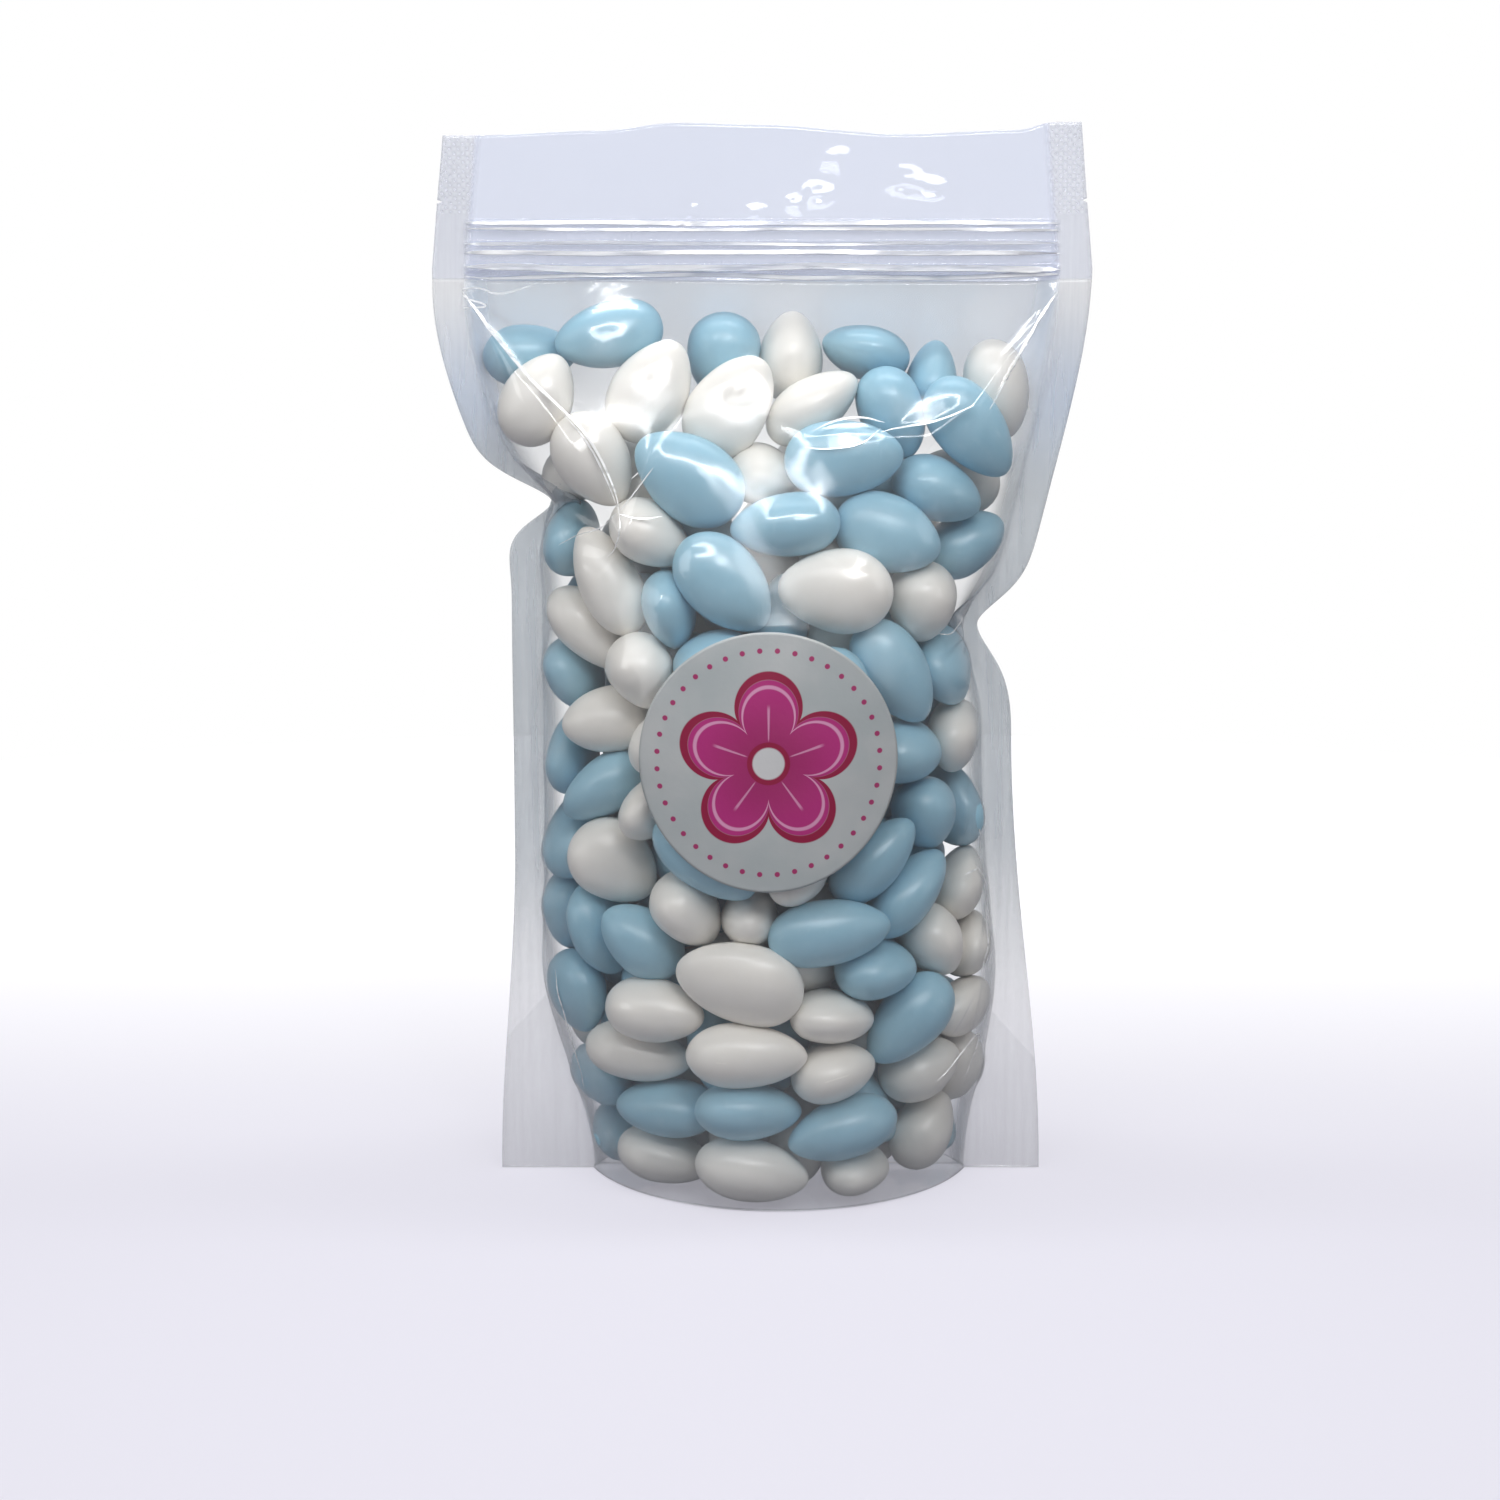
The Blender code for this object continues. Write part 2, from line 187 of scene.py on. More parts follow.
FRONT_WHITE = (
    (-54.6, 200.5, 65, 24.5, 17.5, 0), (-41.7, 186, -58, 25.5, 18, 0), (-27.7, 202.9, 60, 27.5, 19.5, 0),
    (-7.8, 199.3, 54, 28.5, 19.5, 0), (8.5, 210, 88, 23, 16, 3), (12.1, 199, 30, 26, 14.5, 4),
    (58.7, 202.4, -78, 25.5, 16, 2), (0, 182.8, -8, 18.5, 15, 4), (-29, 166.7, -40, 22, 15.5, 1),
    (18.3, 155.5, 176, 28.5, 20.5, 0), (40.5, 149.4, -85, 20.5, 17.3, 0), (-38.8, 154, 115, 29.5, 15.5, 0),
    (-44, 141.4, -40, 28, 14.5, 2), (-29.9, 131, -70, 20, 16.5, 0), (-41.1, 123.3, 185, 23.5, 17, 0),
    (-27.5, 115, 70, 20, 14, 3), (-28.7, 99, 60, 19, 12.5, 3), (-38.2, 86, -45, 24.5, 20, 0),
    (-20.9, 74.5, -65, 20.5, 15.5, 1), (-5.1, 74, 80, 15.5, 14, 2), (9.3, 83, 20, 15, 13, 3),
    (50.5, 112, -70, 18.5, 13, 6), (45, 67, -50, 20, 15.5, 2), (54, 62.5, 60, 18, 12, 5),
    (-5.4, 56.5, 162, 32.5, 21.5, 0), (-28.6, 50.3, 5, 26.7, 16.5, 0), (-30.4, 35.8, -3, 28, 14.5, 0),
    (-4.2, 40, -5, 30.5, 16.5, 0), (17.4, 45.8, -5, 20.8, 13.5, 2), (16.7, 31.3, 0, 21.8, 15, 0),
    (41.7, 29.5, 15, 22, 16, 0), (-3.5, 9, -10, 29, 16, 0), (43.6, 13.8, 30, 22, 15, 2),
    (22, 7.5, -20, 17.5, 13, 3), (-26.7, 8.5, -15, 25, 14, 2), (53, 47.5, 60, 17, 13, 5),
    (58.5, 72, 80, 20, 12.5, 8),
)
HALF_SIZES = np.array((0.0139, 0.0091, 0.0074))  # half length, width and thickness of a middling almond
DEPTH_LIMITS = (0.0070, 0.0135)
ROW_UNITS = (0.001, 0.001, 1.0, 0.001, 0.001, 0.001)  # these turn a row's millimetres to metres
FILL_COUNT = 141  # the almonds behind those
FILL_STEP, FILL_JITTER = 0.0180, 0.0008  # spacing of the lattice that they start from, and its unevenness
FILL_SQUASH = (0.96, 0.90)  # its spacing along y and z, as shares of that along x
FILL_LATTICE = (9, 5, 13)  # points along x, y and z
FILL_MARGIN, FILL_APART = 0.005, 0.0135  # least distance of a centre from the film and from the front ones
FILL_THIN = 0.004  # no almond starts where the room is shallower than this
SIZE_RANGE, SHAPE_RANGE = (0.93, 1.06), (0.97, 1.03)
BLUE_SHARE = 0.5
ROOM_STAND = 0.0023  # the almonds may stand out this far past the film's plain shape
FLOOR_GAP = 0.0009
TURNS, LAST_TURNS = 420, 90
SINK = 0.00009  # what weight moves an almond in a turn
HOLD = np.array((0.45, 0.03, 0.45))  # how strongly the front almonds are drawn home, along x, y and z
LAST_HOLD = HOLD * 0.04
PAIR_TURNS, PAIR_SLACK = 4, 0.001  # turns between two searches for neighbours, and how much further they look
# Share of each correction that is taken, and its limits
STRIDE, LONGEST_MOVE, LARGEST_TURN = 0.45, 0.002, 0.15
WALL_FIRMNESS = 2.0
LEAN = 0.15  # half the span of shares over which two ellipsoids' common normal is looked for

tables = (room_table(BELLY_FRONT), room_table(BELLY_BACK))
chance = np.random.default_rng(7)


def front_almonds(rows):
    """Centres, half sizes and axes of measured almonds: the half depth is what keeps an almond's volume,
    and the centre lies behind the film by that and the row's last value."""
    x, z, tilt, length, width, behind = (np.array(rows, float) * ROW_UNITS).T
    halves = np.stack([length / 2, width / 2, np.prod(HALF_SIZES) * 4 / (length * width)], axis=1)
    halves[:, 2] = np.clip(halves[:, 2], *DEPTH_LIMITS)
    depth = look_up(tables[0], x, z)[0] + ROOM_STAND - behind - halves[:, 2]
    turn = np.radians(tilt)
    nothing = np.zeros_like(turn)
    along = np.stack([np.cos(turn), nothing, np.sin(turn)], axis=1)
    beside = np.stack([-np.sin(turn), nothing, np.cos(turn)], axis=1)
    axes = np.stack([along, beside, np.cross(along, beside)], axis=2)
    return np.stack([x, -depth, z], axis=1), halves, axes


def fill_places(taken, count):
    """Places for the almonds that don't show: a close lattice inside the room, in order of height, without
    the points that lie too near to one that is taken."""
    wide, deep, tall = FILL_LATTICE
    columns = (np.arange(wide) - wide // 2) * FILL_STEP
    rows = (np.arange(deep) - deep // 2) * FILL_STEP * FILL_SQUASH[0]
    layers = np.arange(tall) * FILL_STEP * FILL_SQUASH[1] + FILL_STEP / 2
    x, y, z = np.meshgrid(columns, rows, layers, indexing="ij")
    odd = np.arange(tall) % 2
    x = x + odd * FILL_STEP / 2
    y = y + odd * FILL_STEP / 2 - FILL_STEP / 4
    points = np.stack([x.ravel(), y.ravel(), z.ravel()], axis=1)
    points = points + chance.normal(0.0, FILL_JITTER, points.shape)
    front, back = (look_up(table, points[:, 0], points[:, 2])[0] for table in tables)
    inside = (points[:, 1] > FILL_MARGIN - front) & (points[:, 1] < back - FILL_MARGIN)
    inside = inside & (np.minimum(front, back) > FILL_THIN)
    apart = np.linalg.norm(points[:, None] - taken[None], axis=2).min(axis=1)
    points = points[inside & (apart > FILL_APART)]
    return points[np.argsort(points[:, 2])][:count]


def random_axes(count):
    """Right-handed axes that point anywhere, but more often lie near level, as settled almonds do."""
    along = chance.normal(size=(count, 3)) * (1.0, 1.0, 0.6)
    along /= np.linalg.norm(along, axis=1, keepdims=True)
    other = chance.normal(size=(count, 3))
    beside = other - along * np.sum(other * along, axis=1, keepdims=True)
    beside /= np.linalg.norm(beside, axis=1, keepdims=True)
    return np.stack([along, beside, np.cross(along, beside)], axis=2)


def straighten(axes):
    """Axes made square again after a small turn, one after the other."""
    along = axes[:, :, 0] / np.linalg.norm(axes[:, :, 0], axis=1, keepdims=True)
    beside = axes[:, :, 1] - along * np.sum(axes[:, :, 1] * along, axis=1, keepdims=True)
    beside /= np.linalg.norm(beside, axis=1, keepdims=True)
    return np.stack([along, beside, np.cross(along, beside)], axis=2)


def reach_along(squares, direction):
    """How far each ellipsoid reaches from its centre along a direction: the root of d A d."""
    return np.sqrt(np.einsum("ni,nij,nj->n", direction, squares, direction))


def touching(centres, squares, first, second):
    """Pairs of ellipsoids that overlap, with each one's normal, depth and point. A share between the two
    blends their squares, and the share that makes share (1 - share) r B^-1 r greatest gives the common normal
    B^-1 r."""
    gap = centres[second] - centres[first]
    a, b = squares[first], squares[second]

    def lean(share):
        blend = a + share[:, None, None] * (b - a)
        way = np.linalg.solve(blend, gap[:, :, None])[:, :, 0]
        return way, share * (1.0 - share) * np.sum(way * gap, axis=1)

    middle = np.full(len(first), 0.5)
    near = lean(middle)[1] < 1.0
    gap, a, b, middle, first, second = gap[near], a[near], b[near], middle[near], first[near], second[near]
    low, centre, high = (lean(middle + aside)[1] for aside in (-LEAN, 0.0, LEAN))
    share = np.clip(0.5 + LEAN / 2 * (high - low) / np.maximum(2 * centre - low - high, 1e-9), 0.2, 0.8)
    way, value = lean(share)
    normal = way / np.linalg.norm(way, axis=1, keepdims=True)
    depth = reach_along(a, normal) + reach_along(b, normal) - np.sum(gap * normal, axis=1)
    point = centres[first] + (1.0 - share)[:, None] * np.einsum("nij,nj->ni", a, way)
    press = (value < 1.0) & (depth > 0.0)
    return first[press], second[press], normal[press], depth[press], point[press]


def settle(centres, halves, axes, held, turns, sink, hold):
    """Almonds moved and turned until they clear each other and the walls. In each turn every contact parts
    its two almonds by its depth, shared between moving and turning by their inertia, and the held ones are
    drawn home."""
    home, home_axes = centres[:held].copy(), axes[:held].copy()
    inertia = (np.sum(halves**2, axis=1, keepdims=True) - halves**2) / 5.0
    everyone = np.arange(len(centres))
    down = np.tile((0.0, 0.0, -1.0), (len(centres), 1))

    def answer(body, point, normal):
        """How easily each body gives way at a point along a normal, 1 + arm^2 / inertia, and its turn."""
        arm = np.einsum("nji,nj->ni", axes[body], np.cross(point - centres[body], normal))
        own = arm / inertia[body]
        return 1.0 + np.sum(arm * own, axis=1), np.einsum("nij,nj->ni", axes[body], own)

    def press_back(body, tip, outward, over):
        """Each body moved and turned inwards so that its tip goes back by how far it is over."""
        weight, turned = answer(body, tip, outward)
        push = (over / weight)[:, None] * WALL_FIRMNESS
        move[body] -= push * outward
        spin[body] -= push * turned

    for turn in range(turns):
        squares = np.einsum("nij,nj,nkj->nik", axes, halves**2, axes)
        if turn % PAIR_TURNS == 0:
            i, j = np.triu_indices(len(centres), 1)
            reach = halves[i, 0] + halves[j, 0] + PAIR_SLACK
            close = np.sum((centres[i] - centres[j]) ** 2, axis=1) < reach**2
            i, j = i[close], j[close]
        first, second, normal, depth, point = touching(centres, squares, i, j)
        weight_a, spin_a = answer(first, point, normal)
        weight_b, spin_b = answer(second, point, normal)
        push = (depth / (weight_a + weight_b))[:, None]
        move, spin = np.zeros_like(centres), np.zeros_like(centres)
        np.add.at(move, first, -push * normal)
        np.add.at(move, second, push * normal)
        np.add.at(spin, first, -push * spin_a)
        np.add.at(spin, second, push * spin_b)
        for table, facing in zip(tables, (-1.0, 1.0)):
            tip = centres
            for _ in range(2):
                room, slope_x, slope_z = look_up(table, tip[:, 0], tip[:, 2])
                outward = np.stack([-slope_x, np.full_like(room, facing), -slope_z], axis=1)
                steep = np.linalg.norm(outward, axis=1)
                outward = outward / steep[:, None]
                reach = reach_along(squares, outward)
                tip = centres + np.einsum("nij,nj->ni", squares, outward) / reach[:, None]
            room = look_up(table, tip[:, 0], tip[:, 2])[0]
            over = (facing * tip[:, 1] - room - ROOM_STAND) / steep
            out = everyone[over > 0.0]
            press_back(out, tip[out], outward[out], over[out])
        reach = reach_along(squares, down)
        tip = centres + np.einsum("nij,nj->ni", squares, down) / reach[:, None]
        low = centres[:, 2] - reach
        out = everyone[low < FLOOR_GAP]
        press_back(out, tip[out], down[out], FLOOR_GAP - low[out])
        move[held:, 2] -= sink
        move[:held] += hold * (home - centres[:held])
        centres = centres + np.clip(move * STRIDE, -LONGEST_MOVE, LONGEST_MOVE)
        spin = np.clip(spin * STRIDE, -LARGEST_TURN, LARGEST_TURN)
        axes = axes + np.cross(spin[:, :, None], axes, axisa=1, axisb=1, axisc=1)
        axes[:held] += hold[0] * (home_axes - axes[:held])
        axes = straighten(axes)
    return centres, axes


blue_rows, white_rows = front_almonds(FRONT_BLUE), front_almonds(FRONT_WHITE)
centres, halves, axes = (np.concatenate(pair) for pair in zip(blue_rows, white_rows))
shown = len(centres)
fill = fill_places(centres, FILL_COUNT)
sizes = chance.uniform(*SIZE_RANGE, (len(fill), 1)) * chance.uniform(*SHAPE_RANGE, (len(fill), 3))
centres = np.concatenate([centres, fill])
halves = np.concatenate([halves, HALF_SIZES * sizes])
axes = np.concatenate([axes, random_axes(len(fill))])
is_blue = np.concatenate([np.arange(shown) < len(FRONT_BLUE), chance.random(len(fill)) < BLUE_SHARE])
centres, axes = settle(centres, halves, axes, shown, TURNS, SINK, HOLD)
centres, axes = settle(centres, halves, axes, shown, LAST_TURNS, 0.0, LAST_HOLD)

TAPER, POINT = 0.15, 0.05  # how much slimmer an almond is towards its tip, and the tip's point
LUMP = 0.012  # unevenness of the coat, as a share of the size
# Slow waves in the coat: height, waves round the almond, and how fast they run lengthwise
LUMP_WAVES = ((1.0, 2, 0.0), (0.7, 3, 2.0), (0.8, 0, 3.2), (0.5, 0, 6.0))
FRONT_GRID, FILL_GRID = (24, 20), (15, 14)  # rings and sides: finer where they press on the front


def slimming(along):
    """Share of the full girth at along from -1 to 1, beyond an ellipsoid's own: less towards the pointed
    end."""
    return (1.0 - TAPER * along) * (1.0 - POINT * np.maximum(along, 0.0) ** 3)


def almond_meshes(name, chosen, rings, sides):
    """One mesh of the chosen almonds. Ring t and side v of each lie at (-cos t, sin t cos v, sin t sin v)
    times the slimming, a few slow waves and the half sizes, turned by the almond's axes; two poles close
    it."""
    t = np.linspace(0.0, math.pi, rings + 2)[1:-1, None]
    v = np.linspace(0.0, 2.0 * math.pi, sides, endpoint=False)[None, :]
    along = -np.cos(t) + 0.0 * v
    girth = np.sin(t) * slimming(along)
    ball = np.stack([along, girth * np.cos(v), girth * np.sin(v)], axis=-1).reshape(-1, 3)
    ball = np.concatenate([ball, [[-1.0, 0.0, 0.0], [1.0, 0.0, 0.0]]])
    turned, far = np.arctan2(ball[:, 2], ball[:, 1]), np.hypot(ball[:, 1], ball[:, 2])
    waves = 0.0
    for (height, turns, run), phase in zip(LUMP_WAVES, wave_phases[chosen].T):
        waves = waves + height * np.sin(turns * turned + run * ball[:, 0] + phase[:, None]) * far
    local = ball[None] * (1.0 + LUMP * waves[..., None]) * halves[chosen][:, None]
    points = centres[chosen][:, None] + np.einsum("nij,nkj->nki", axes[chosen], local)
    rim = np.arange(sides)
    first, last = cap(rings * sides, rim), cap(rings * sides + 1, rim + (rings - 1) * sides)
    shift = np.arange(len(points))[:, None, None] * len(ball)
    quads = (ring_quads(rings, sides) + shift).reshape(-1, 4)
    caps = (np.concatenate([first, last[:, [0, 2, 1]]]) + shift).reshape(-1, 3)
    mesh = mesh_of(name, points, quads, caps)
    paint(mesh, "tone", np.repeat(tones[chosen], len(ball)))
    return mesh


def ring_quads(rings, sides):
    """Quads between closed rings of points that follow one another."""
    ring = np.arange(rings - 1)[:, None] * sides
    step = np.arange(sides)[None, :]
    beyond = (step + 1) % sides
    quads = np.stack([ring + step, ring + sides + step, ring + sides + beyond, ring + beyond], axis=-1)
    return quads.reshape(-1, 4)


def cap(middle, rim):
    """Triangles from a middle point to a closed rim."""
    return np.stack([np.full(len(rim), middle), rim, np.roll(rim, -1)], axis=-1)


def mesh_of(name, points, quads, others=()):
    """A smooth mesh of these points, quads and other faces."""
    mesh = bpy.data.meshes.new(name)
    mesh.from_pydata(points.reshape(-1, 3).tolist(), [], [*quads.tolist(), *np.array(others).tolist()])
    mesh.shade_smooth()
    return mesh


def paint(mesh, name, values):
    """A float attribute with a value for each point."""
    layer = mesh.attributes.new(name, "FLOAT", "POINT")
    layer.data.foreach_set("value", np.ascontiguousarray(values, np.float32).ravel())


def put(name, data):
    """A new object of the data, in the scene."""
    thing = bpy.data.objects.new(name, data)
    bpy.context.scene.collection.objects.link(thing)
    return thing


def show(name, mesh, material, node=None):
    """An object of the mesh at the origin, with its material, on the root body and in its slot."""
    mesh.materials.append(material)
    piece = put(name, mesh)
    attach(piece, "root")
    if node:
        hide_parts(node)
    return piece


class Wire:
    """An output of a shader node as a number in Python: each operation adds a Math node to its tree."""

    def __init__(self, socket):
        self.socket = socket

    def math(self, operation, *others, before=()):
        """The operation on the values before, this one and the others."""
        node = add(self.socket.id_data, "Math", {"operation": operation}, *before, self, *others)
        return Wire(node.outputs[0])

    def __add__(self, other):
        return self.math("ADD", other)

    def __sub__(self, other):
        return self.math("SUBTRACT", other)

    def __rsub__(self, other):
        return self.math("SUBTRACT", before=(other,))

    def __mul__(self, other):
        return self.math("MULTIPLY", other)

    def __truediv__(self, other):
        return self.math("DIVIDE", other)

    def __pow__(self, other):
        return self.math("POWER", other)

    __radd__ = __add__
    __rmul__ = __mul__

    def step(self, low, high):
        """0 below low, 1 above high and a smooth step between, or the other way round where low is the
        greater."""
        settings = {"interpolation_type": "SMOOTHSTEP"}
        ends = (low, high, 0.0, 1.0) if low < high else (high, low, 1.0, 0.0)
        return Wire(add(self.socket.id_data, "MapRange", settings, self, *ends).outputs[0])


def add(tree, kind, settings, *values, **named):
    """A shader node of this kind with its settings. Its sockets follow by order or by name, spaces as
    underscores, and a node given as a value stands for its first output."""
    node = tree.nodes.new("ShaderNode" + kind)
    for key, value in settings.items():
        setattr(node, key, value)
    slots = [*zip(node.inputs, values), *((node.inputs[key.replace("_", " ")], named[key]) for key in named)]
    for slot, value in slots:
        if isinstance(value, Wire):
            value = value.socket
        if isinstance(value, bpy.types.Node):
            value = value.outputs[0]
        if isinstance(value, bpy.types.NodeSocket):
            tree.links.new(value, slot)
        elif value is not None:
            slot.default_value = value
    return node


def new_material(name):
    """A material, its emptied node tree and its object coordinates."""
    material = bpy.data.materials.new(name)
    material.use_nodes = True
    material.node_tree.nodes.clear()
    return material, material.node_tree, add(material.node_tree, "TexCoord", {}).outputs["Object"]


def finished(material, surface):
    """The material with its surface joined to the output."""
    add(material.node_tree, "OutputMaterial", {}, surface)
    return material


def attribute(tree, name):
    """A mesh attribute as a Wire."""
    return Wire(add(tree, "Attribute", {"attribute_name": name}).outputs["Fac"])


def blend_colours(tree, factor, first, second):
    """The colour that goes from first to second as factor goes from 0 to 1."""
    mix = add(tree, "Mix", {"data_type": "RGBA"})
    for name, value in (("Factor_Float", factor), ("A_Color", first), ("B_Color", second)):
        slot = next(slot for slot in mix.inputs if slot.identifier == name)
        if isinstance(value, (Wire, bpy.types.NodeSocket)):
            tree.links.new(getattr(value, "socket", value), slot)
        else:
            slot.default_value = (*value, 1.0) if name != "Factor_Float" else value
    return next(slot for slot in mix.outputs if slot.type == "RGBA")


def components(tree, place):
    """x, y and z of coordinates, as Wires."""
    return [Wire(socket) for socket in add(tree, "SeparateXYZ", {}, place).outputs]


def noise(tree, place, scale, detail, roughness=0.5):
    """Noise at a place, from 0 to 1, with this many features to a metre."""
    node = add(tree, "TexNoise", {}, Vector=place, Scale=scale, Detail=detail, Roughness=roughness)
    return Wire(node.outputs["Fac"])


def sugar(name, plain, deep, pale):
    """Hard sugar coat: a slightly mottled colour, each almond a little lighter or darker, a satin polish that
    the coat's fine pits break up, and slow dents."""
    material, tree, place = new_material(name)
    mottle = (noise(tree, place, 160.0, 4.0, 0.6) - 0.5) * 1.1 + 0.35
    colour = blend_colours(tree, mottle + attribute(tree, "tone") * 0.3, plain, deep)
    colour = blend_colours(tree, noise(tree, place, 420.0, 2.0).step(0.56, 0.78) * 0.35, colour, pale)
    pits = noise(tree, place, 1500.0, 2.0)
    dents = noise(tree, place, 210.0, 2.0)
    bump = add(tree, "Bump", {}, Strength=0.35, Distance=0.0006, Height=dents * 0.5 + pits * 0.045)
    polish = noise(tree, place, 600.0, 2.0) * 0.14 + 0.26
    coat = add(tree, "BsdfPrincipled", {}, Base_Color=colour, Roughness=polish, IOR=1.5,
               Coat_Weight=0.10, Coat_Roughness=0.22, Normal=bump)
    return finished(material, coat)


BLUE, BLUE_DEEP, BLUE_PALE = (0.365, 0.610, 0.735), (0.310, 0.555, 0.690), (0.44, 0.67, 0.78)
WHITE, WHITE_DEEP, WHITE_PALE = (0.930, 0.905, 0.855), (0.890, 0.860, 0.800), (0.95, 0.935, 0.90)
in_front = np.arange(len(centres)) < shown
wave_phases = chance.uniform(0.0, 2.0 * math.pi, (len(centres), len(LUMP_WAVES)))
tones = chance.uniform(0.0, 1.0, len(centres))
for colour, chosen, coats in (("blue", is_blue, (BLUE, BLUE_DEEP, BLUE_PALE)),
                              ("white", ~is_blue, (WHITE, WHITE_DEEP, WHITE_PALE))):
    coat = sugar("sugar_" + colour, *coats)
    for place, here, grid in (("front", in_front, FRONT_GRID), ("inner", ~in_front, FILL_GRID)):
        name = f"almonds_{colour}_{place}"
        show(name, almond_meshes(name, chosen & here, *grid), coat)


# Film, front and back
# Clear laminated film about 0.12 mm thick, in a front and a back panel that are welded down both sides. The
# fill pushes it out, so it lies taut over the almonds, folds at the shoulders and buckles in at two places of
# its sides.

FILM = 0.00012
SEAL_GAP = 0.00022  # the welded films' outer faces stand this far from the middle plane
HEADER_GAP = 0.00055
DRAPE_GAP = 0.00035  # from an almond to the middle of the film
PANEL_STEPS, SEAL_STEPS = 176, 6
HEAD_FOOT, BODY_ROWS = 0.2305, 258  # where each panel's body ends and its head starts, and the body's rows
PULLS = (0.0000018, 0.0000032)  # how far the film draws in at each relaxing step, low down and at the top
PULL_HEIGHTS = (0.150, 0.200)  # where the one goes over to the other
RELAXING = 700
FREE_FOOT, FREE_TOP = (0.0, 0.008), (ZIP_HEIGHT - 0.006, ZIP_HEIGHT - 0.001)  # folds fade out in these
FLAP_WAVES = ((0.0012, 0.021, 0.5), (0.0006, 0.009, 0.0))  # height, length over 2 pi and phase, at the mouth
SEAL_RIPPLE, RIPPLE_HEIGHTS = (0.0006, 0.0105), (0.010, 0.030)  # height and length over 2 pi; it sets in here
HAZE_LOW, HAZE_EMPTY, HAZE_SEAL = (0.010, 0.060), (0.180, 0.212), (0.035, 0.095)  # where each haze changes
ZIP_LINES = ((0.2331, 0.0008, 0.00100), (0.2374, 0.0009, 0.00075), (0.2391, 0.0011, 0.00080),
             (0.2429, 0.0008, 0.00070), (0.2444, 0.0009, 0.00070))  # height, how far out, half width
HEAD_DENTS = ((0.0360, 0.2555, 0.0009, 0.0034), (0.0430, 0.2532, 0.0007, 0.0026),
              (0.0140, 0.2515, 0.0006, 0.0024), (-0.0175, 0.2472, 0.0006, 0.0022),
              (-0.0017, 0.2468, 0.0006, 0.0020), (0.0080, 0.2488, 0.0005, 0.0018),
              (0.0180, 0.2610, 0.0005, 0.0030))  # x, z, how far out, radius
NOTCHES = (0.2497, 0.0012, 0.0009)  # height, depth and half width of the tear notches
# x, and how far from POUCH_HEIGHT the mouth passes there
MOUTH = ((-0.071, -0.0023), (-0.041, -0.0012), (-0.021, 0.0007), (0.000, 0.0003), (0.035, -0.0020),
         (0.063, -0.0010), (0.073, 0.0010))
ZIP_WAVE = 0.0004  # how far the lowest line of the zip wanders up and down
TOP_SEARCH, BEHIND_MIDDLE = 0.007, 0.004  # a panel looks for almonds this near, and this far past the middle
STICKER_RIM = 0.0008  # the film lies flat under the sticker and this far round it
WELD_START = 0.93  # the film lies flat on the weld from this share of the panel's half width
# Gentle unevenness: seeds of the front and the back, its length and its height
BODY_SEED, BODY_WAVES = (11, 12), (0.030, 0.00022)
# Share of the light that sugar dust and the film's own cloudiness scatter at each face
DUST_BODY, DUST_LOW, DUST_EMPTY, DUST_HEAD, DUST_WELD = 0.012, 0.06, 0.26, 0.06, 0.30
DUST_FOOT = 0.22  # how much clearer the welds are at the foot
# More of it beside the seals, where the film is creased, on the front and the back, and the shares of the
# half width between which that sets in
DUST_SIDE, BESIDE = (0.064, 0.384), (0.80, 0.96)


def top_wave(x):
    """How far above or below POUCH_HEIGHT the mouth passes at x: a smooth step from each place of it to the
    next."""
    rise = MOUTH[0][1]
    for (start, low), (end, high) in zip(MOUTH, MOUTH[1:]):
        rise = rise + (high - low) * smooth(x, start, end)
    return rise


def zip_relief(z):
    """How far the zip's lines push the film out: the sum of out times (1 - (distance / half
    width)^2)^0.75."""
    total = 0.0
    for height, out, half in ZIP_LINES:
        total = total + out * np.maximum(1.0 - ((z - height) / half) ** 2, 0.0) ** 0.75
    return total


def row_heights():
    """Heights of the film's rows: even up the body, close together at the zip and at the tear notches."""
    body = np.linspace(0.0, HEAD_FOOT, BODY_ROWS)
    zipped = np.linspace(HEAD_FOOT, 0.2455, 91)[1:]
    header = np.linspace(0.2455, POUCH_HEIGHT, 25)[1:]
    notches = NOTCHES[0] + np.array((-1.0, 0.0, 1.0)) * NOTCHES[2]
    return np.sort(np.concatenate([body, zipped, header, notches]))


def almond_tops(points, normals, facing):
    """How far each almond reaches out of the panel: the outer root of |u + t v| = 1 in the almond's own
    frame, where u and v are the point and the normal over the half sizes, taken again with the girth at the
    point it gave."""
    tops = np.full(points.shape[:2], -1.0)
    for centre, half, own in zip(centres, halves, axes):
        near = np.linalg.norm(points - centre, axis=-1) < half[0] + TOP_SEARCH
        if not near.any() or facing * centre[1] < -BEHIND_MIDDLE:
            continue
        u = (points[near] - centre) @ own / half
        v = normals[near] @ own / half
        girth = np.ones((len(u), 1))
        for _ in range(3):
            thin = np.concatenate([np.ones_like(girth), 1.0 / girth, 1.0 / girth], axis=1)
            a = np.sum((v * thin) ** 2, axis=1)
            b = np.sum(u * thin * v * thin, axis=1)
            spare = b**2 - a * (np.sum((u * thin) ** 2, axis=1) - 1.0)
            root = (-b + np.sqrt(np.maximum(spare, 0.0))) / a
            girth = slimming(np.clip(u[:, :1] + root[:, None] * v[:, :1], -1.0, 1.0))
        tops[near] = np.maximum(tops[near], np.where(spare > 0.0, root, -1.0))
    return tops


